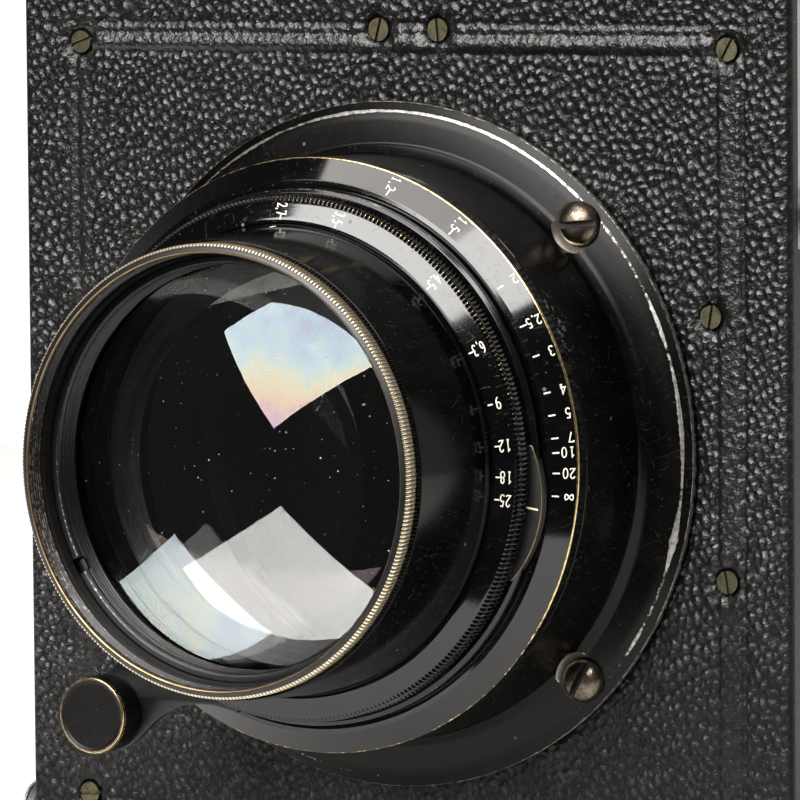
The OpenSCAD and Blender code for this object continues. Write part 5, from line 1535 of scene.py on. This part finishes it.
def make_strap():
    """Leather carrying strap bowed between its bolted ends, with two rows of stitches."""
    pts = []
    for z in (20.6, 22.5, 25.0):
        pts.append((-55.55, z))
    for a in np.linspace(212, 148, 44):
        pts.append((-12 + 52.95 * math.cos(math.radians(a)), 55 + 52.95 * math.sin(math.radians(a))))
    for z in (84.6, 87.5, 89.4):
        pts.append((-55.55, z))
    P = np.array([p for p in catmull(pts, 3)])
    P[:, 0] = np.maximum(P[:, 0], -64.95)
    P[:, 0] = np.minimum(P[:, 0], -55.45)
    T = np.gradient(P, axis=0)
    T /= np.linalg.norm(T, axis=1)[:, None]
    Nn = np.stack([-T[:, 1], T[:, 0]], 1)
    if (Nn[len(P) // 2, 0]) > 0:
        Nn = -Nn
    s = np.concatenate([[0], np.cumsum(np.linalg.norm(np.diff(P, axis=0), axis=1))])
    w, th = 5.95, 0.98
    sec = []
    for y, n_ in ((-w, 0.0), (-w + 0.15, 0.62), (-w + 0.6, 0.95), (-w + 1.2, 1.0), (-w + 1.5, 0.86), (-w + 1.9, 1.0), (0, 1.06), (w - 1.9, 1.0), (w - 1.5, 0.86),
                  (w - 1.2, 1.0), (w - 0.6, 0.95), (w - 0.15, 0.62), (w, 0.0), (w - 0.2, -0.8), (w - 0.9, -1.0), (0, -1.0), (-w + 0.9, -1.0), (-w + 0.2, -0.8)):
        sec.append((13.0 + y, n_ * th))
    m = len(sec)
    V = []
    for i in range(len(P)):
        e = min(1.0, 0.3 + min(i, len(P) - 1 - i) * 0.35)
        for y, n_ in sec:
            q = P[i] + Nn[i] * n_ * e
            V.append((q[0], 13.0 + (y - 13.0) * (0.985 + 0.015 * e), q[1]))
    V = np.array(V)
    R = len(P)
    Q = []
    for i in range(R - 1):
        for j in range(m):
            Q.append((i * m + j, i * m + (j + 1) % m, (i + 1) * m + (j + 1) % m, (i + 1) * m + j))
    # end caps as strips
    for base, fl in ((0, False), ((R - 1) * m, True)):
        for k in range(m // 2 - 1):
            q = (base + k, base + k + 1, base + m - 2 - k, base + m - 1 - k)
            if len(set(q)) == 4:
                Q.append(q if fl else q[::-1])
    V[:, 0] = np.minimum(V[:, 0], -54.05)
    me = grid_mesh("v_carry_strap", V, np.array(Q))
    import bmesh
    bm = bmesh.new()
    bm.from_mesh(me)
    bmesh.ops.recalc_face_normals(bm, faces=bm.faces)
    bm.to_mesh(me)
    bm.free()
    me.set_sharp_from_angle(angle=math.radians(60))
    new_object("v_carry_strap", me, MATS["strap"], "body", ("carry_strap",))
    # stitches
    V, Q = [], []
    pitch = 2.2
    k = 3.0
    while k < s[-1] - 3.0:
        for row in (-w + 1.5, w - 1.5):
            a = np.array([np.interp(k, s, P[:, 0]), np.interp(k, s, P[:, 1])])
            b = np.array([np.interp(k + 1.5, s, P[:, 0]), np.interp(k + 1.5, s, P[:, 1])])
            n0 = np.array([np.interp(k, s, Nn[:, 0]), np.interp(k, s, Nn[:, 1])])
            base = len(V)
            for t in (0.0, 0.2, 0.5, 0.8, 1.0):
                c = a + (b - a) * t + n0 * (0.86 * th + 0.17 * math.sin(math.pi * t) - 0.05)
                for j in range(6):
                    ang = 2 * math.pi * j / 6
                    V.append((c[0] + n0[0] * 0.16 * math.sin(ang), 13.0 + row + 0.2 * math.cos(ang), c[1] + n0[1] * 0.16 * math.sin(ang)))
            for i in range(4):
                for j in range(6):
                    Q.append((base + i * 6 + j, base + i * 6 + (j + 1) % 6, base + (i + 1) * 6 + (j + 1) % 6, base + (i + 1) * 6 + j))
        k += pitch
    me = grid_mesh("v_strap_stitches", np.array(V), np.array(Q))
    bm = bmesh.new()
    bm.from_mesh(me)
    bmesh.ops.recalc_face_normals(bm, faces=bm.faces)
    bm.to_mesh(me)
    bm.free()
    new_object("v_strap_stitches", me, MATS["thread"], "body")
    # domed screws through both ends
    V, Q = [], []
    for zc, ang in ((24.0, 35), (86.0, 80)):
        n = 40
        prof = [(0.05, 1.25), (0.6, 1.22), (1.2, 1.1), (1.8, 0.88), (2.3, 0.62), (2.7, 0.34), (2.95, 0.08), (3.0, -0.1), (2.95, -0.6), (0.05, -0.6)]
        base = len(V)
        ca, sa = math.cos(math.radians(ang)), math.sin(math.radians(ang))
        for r, hgt in prof:
            for j in range(n):
                a = 2 * math.pi * j / n
                y, z = r * math.cos(a), r * math.sin(a)
                off = abs(-y * sa + z * ca)
                hh = hgt - (0.55 * max(0.0, 1 - (off / 0.42) ** 6) if hgt > 0.3 else 0.0)
                V.append((-57.1 - hh, 13 + y, zc + z))
        for i in range(len(prof) - 1):
            for j in range(n):
                Q.append((base + i * n + j, base + (i + 1) * n + j, base + (i + 1) * n + (j + 1) % n, base + i * n + (j + 1) % n))
    me = grid_mesh("v_strap_bolts", np.array(V), np.array(Q))
    bm = bmesh.new()
    bm.from_mesh(me)
    bmesh.ops.recalc_face_normals(bm, faces=bm.faces)
    bm.to_mesh(me)
    bm.free()
    me.set_sharp_from_angle(angle=math.radians(32))
    new_object("v_strap_bolts", me, MATS["nickel"], "body")


def make_curtain():
    """Rubberised shutter cloth with a hemmed slit lath at each edge of the slot."""
    xs = np.linspace(-44, 44, 89)
    zs = np.linspace(10.5, 101.5, 92)
    X, Z = np.meshgrid(xs, zs)
    wave = 0.03 * np.sin(X * 0.35 + Z * 0.05) + 0.02 * np.sin(Z * 0.5)
    hem = np.exp(-((Z - 22) / 0.9) ** 4) + np.exp(-((Z - 90) / 0.9) ** 4)
    front = 21.3 + 0.07 + wave * 0.5 - 0.05 * hem
    back = 21.7 - 0.07 + wave * 0.5 + 0.05 * hem
    nz, nx = X.shape
    idx = np.arange(nz * nx).reshape(nz, nx)
    q = np.stack([idx[:-1, :-1], idx[:-1, 1:], idx[1:, 1:], idx[1:, :-1]], -1).reshape(-1, 4)
    V = np.vstack([np.stack([X, front, Z], -1).reshape(-1, 3), np.stack([X, back, Z], -1).reshape(-1, 3)])
    loop = np.concatenate([idx[0, :], idx[1:, -1], idx[-1, -2::-1], idx[-2:0:-1, 0]])
    n = len(loop)
    j = np.arange(n)
    o = nz * nx
    sq = np.stack([loop, loop + o, loop[(j + 1) % n] + o, loop[(j + 1) % n]], -1)
    me = grid_mesh("v_shutter_curtain", V, np.vstack([q, q[:, ::-1] + o, sq]))
    import bmesh
    bm = bmesh.new()
    bm.from_mesh(me)
    bmesh.ops.recalc_face_normals(bm, faces=bm.faces)
    bm.to_mesh(me)
    bm.free()
    me.set_sharp_from_angle(angle=math.radians(50))
    ob = new_object("v_shutter_curtain", me, MATS["cloth"], "body", ("shutter_curtain",))


def dial_marks():
    """Plain ticks round the shutter dial, on the right side of the body."""
    V, Q = [], []
    cy, cz, x0 = 15.0, 86.95, 54.95
    for k in range(24):
        a = math.radians(90 - 15 * k)
        r0, r1 = (10.7, 12.3) if k % 3 == 0 else (11.4, 12.3)
        ribbon([(r0, 0), (r1, 0)], 0.22 if k % 3 == 0 else 0.14,
               lambda u, v, h, a=a: (x0 + h, cy + u * math.cos(a) - v * math.sin(a), cz + u * math.sin(a) + v * math.cos(a)), V, Q, top=0.014)
    marks_object("v_dial_marks", V, Q, MATS["ink_black"], "body")


# ------------------------------------------------------------------ stage, light, world
def stage():
    me = bpy.data.meshes.new("table")
    # a pale table top with a rounded front edge
    prof = []
    r = 0.012
    yf, yb, th = -0.195, 0.42, 0.03
    prof.append((yb, 0.0))
    prof.append((yf + r, 0.0))
    for i in range(1, 9):
        a = math.radians(90 + 90 * i / 8)
        prof.append((yf + r + r * math.cos(a), -r + r * math.sin(a)))
    prof.append((yf, -th))
    prof.append((yb, -th))
    xs = np.linspace(-1.0, 1.0, 9)
    V = [(x, y, z - 0.00002) for x in xs for y, z in prof]
    n = len(prof)
    F = []
    for i in range(len(xs) - 1):
        for j in range(n):
            F.append((i * n + j, i * n + (j + 1) % n, (i + 1) * n + (j + 1) % n, (i + 1) * n + j))
    F.append(tuple(range(n)))
    F.append(tuple(range((len(xs) - 1) * n, len(xs) * n))[::-1])
    me.from_pydata(V, [], F)
    import bmesh
    bm = bmesh.new()
    bm.from_mesh(me)
    bmesh.ops.recalc_face_normals(bm, faces=bm.faces)
    bm.to_mesh(me)
    bm.free()
    ob = bpy.data.objects.new("table", me)
    SCENE.collection.objects.link(ob)
    m = Mat("pale_table")
    g = m.noise(0.05, 4.0, 0.6)
    m.put("Base Color", m.mixc(g, (0.80, 0.80, 0.79), (0.86, 0.86, 0.85)))
    m.put("Roughness", m.math("ADD", 0.55, m.math("MULTIPLY", g, 0.2)))
    m.put("Normal", m.bump(m.noise(0.8, 3.0), 1.0, 0.00005))
    me.materials.append(m.m)


def area(name, centre, xdir, ydir, sx, sy, radiance, color=(1, 1, 1), spread=None):
    """A rectangular soft light; it shines along -(x cross y)."""
    li = bpy.data.lights.new(name, "AREA")
    li.shape = "RECTANGLE"
    li.size, li.size_y = sx, sy
    li.energy = math.pi * sx * sy * radiance
    li.color = color
    if spread:
        li.spread = math.radians(spread)
    ob = bpy.data.objects.new(name, li)
    SCENE.collection.objects.link(ob)
    x = Vector(xdir).normalized()
    y = Vector(ydir)
    y = (y - y.dot(x) * x).normalized()
    z = x.cross(y)
    m = Matrix((x, y, z)).transposed().to_4x4()
    m.translation = Vector(centre)
    ob.matrix_world = m
    return ob


def facing(centre, target, up=(0, 0, 1)):
    z = (Vector(centre) - Vector(target)).normalized()
    x = Vector(up).cross(z)
    x = x.normalized() if x.length > 1e-6 else Vector((1, 0, 0))
    return x, z.cross(x)


def lights():
    O = Vector((0.005, -0.118, 0.065))
    b, l, e1 = Vector((-0.287, -0.953, 0.100)), Vector((-0.587, -0.670, 0.454)), Vector((0.80, -0.078, 0.595)).normalized()
    B, L = O + 1.3 * b, O + 0.851 * l
    c = (B + L) / 2 + e1 * 0.85
    w = (L - B).length
    x, y = e1, (L - B).normalized()
    if x.cross(y).dot(c - O) < 0:
        x = -x
    area("key_softbox", c, x, y, 1.7, w, 14.5, (1.0, 0.985, 0.96))
    az, el = math.radians(-16), math.radians(62)
    d = Vector((math.sin(az) * math.cos(el), -math.cos(az) * math.cos(el), math.sin(el)))
    c = Vector((0, -0.1, 0.055)) + d * 1.0
    x, y = facing(c, (0, -0.1, 0.055))
    area("top_softbox", c - x * 0.0175 + y * 0.06, x, y, 0.725, 0.38, 7.0, (1.0, 0.955, 0.91))
    c = (0.25, 1.25, 0.95)
    x, y = facing(c, (0, 0, 0.06))
    area("rear_softbox", c, x, y, 1.1, 0.7, 6.0)


def world():
    w = bpy.data.worlds.new("studio")
    SCENE.world = w
    w.use_nodes = True
    t = w.node_tree
    t.nodes.clear()
    out = t.nodes.new("ShaderNodeOutputWorld")
    mixs = t.nodes.new("ShaderNodeMixShader")
    lp = t.nodes.new("ShaderNodeLightPath")
    white = t.nodes.new("ShaderNodeBackground")
    white.inputs["Color"].default_value = (1, 1, 1, 1)
    white.inputs["Strength"].default_value = 1.15
    dim = t.nodes.new("ShaderNodeBackground")
    tc = t.nodes.new("ShaderNodeTexCoord")
    sep = t.nodes.new("ShaderNodeSeparateXYZ")
    rng = t.nodes.new("ShaderNodeMapRange")
    rng.interpolation_type = "SMOOTHSTEP"
    t.links.new(tc.outputs["Generated"], sep.inputs[0])
    t.links.new(sep.outputs[1], rng.inputs["Value"])
    rng.inputs["From Min"].default_value = -0.15
    rng.inputs["From Max"].default_value = 0.5
    rng.inputs["To Min"].default_value = 0.045
    rng.inputs["To Max"].default_value = 0.6
    dim.inputs["Color"].default_value = (1, 1, 1, 1)
    t.links.new(rng.outputs[0], dim.inputs["Strength"])
    t.links.new(lp.outputs["Is Camera Ray"], mixs.inputs[0])
    t.links.new(dim.outputs[0], mixs.inputs[1])
    t.links.new(white.outputs[0], mixs.inputs[2])
    t.links.new(mixs.outputs[0], out.inputs["Surface"])
    SCENE.view_settings.view_transform = "Standard"
    SCENE.view_settings.look = "None"
    SCENE.view_settings.exposure = 0.0


CAD_MATS = {
    "front_board": "wood", "board_screws": "screw", "lens_lock_ring": "black_metal", "iris_blades": "iris",
    "rear_cell": "cell", "board_slot_guides": "nickel", "board_strut_pivots": "nickel", "front_bellows_frame": "black_metal",
    "screen_frame": "wood", "ground_glass": "frosted", "screen_retainer": "black_metal", "hood_hinge_lugs": "black_metal",
    "hood_left": "hood", "hood_right": "hood", "hood_front": "hood", "hood_rear": "hood", "body_shell": "wood", "rear_bellows_frame": "black_metal",
    "body_slot_guides": "nickel", "body_strut_pivots": "nickel", "top_rails": "nickel", "tripod_bush": "brass", "shutter_gate": "black_metal",
    "upper_roller": "roller", "lower_roller": "roller", "roller_pinion": "brass", "shaft_bushes": "brass", "winding_gear": "brass",
    "winding_knob": "knob", "speed_dial": "dial", "tension_knob": "knob", "release_button": "nickel", "mirror_pin": "steel",
    "mirror_carrier": "black_metal", "mirror_frame": "black_metal", "mirror_glass": "mirror", "rear_struts": "steel", "front_struts": "steel",
    "strut_rivets": "nickel", "plate_back": "wood", "plate_holder": "holder", "dark_slide": "holder",
}

tl = 104.0
th_open = math.degrees(math.acos(68.0 / tl)) + 0.42
th_shut = math.degrees(math.acos(24.0 / tl)) + 0.42
SLOT = (5 + tl * math.sin(math.radians(th_open)) - 1.2, 5 + tl * math.sin(math.radians(th_shut)) + 1.2)

camera()
materials()
MATS["slot_darkening"] = satin("slot_darkening", (0.004, 0.003, 0.002), rough=0.5, line="flat", scale=3.0, worn=(0.4, 0.28, 0.12), wear=0.5)
MATS["thread"] = satin("waxed_thread", (0.42, 0.36, 0.26), rough=0.55, line="flat", scale=3.0)
make_flange()
make_flange_screws()
make_rings()
make_barrel()
glasses()
make_leather()
make_bellows()
make_side_leather()
make_strap()
make_curtain()
dial_marks()
for node, mat in CAD_MATS.items():
    ob = frame["nodes"][node]
    ob.data.materials.clear()
    ob.data.materials.append(MATS[mat])
stage()
lights()
world()
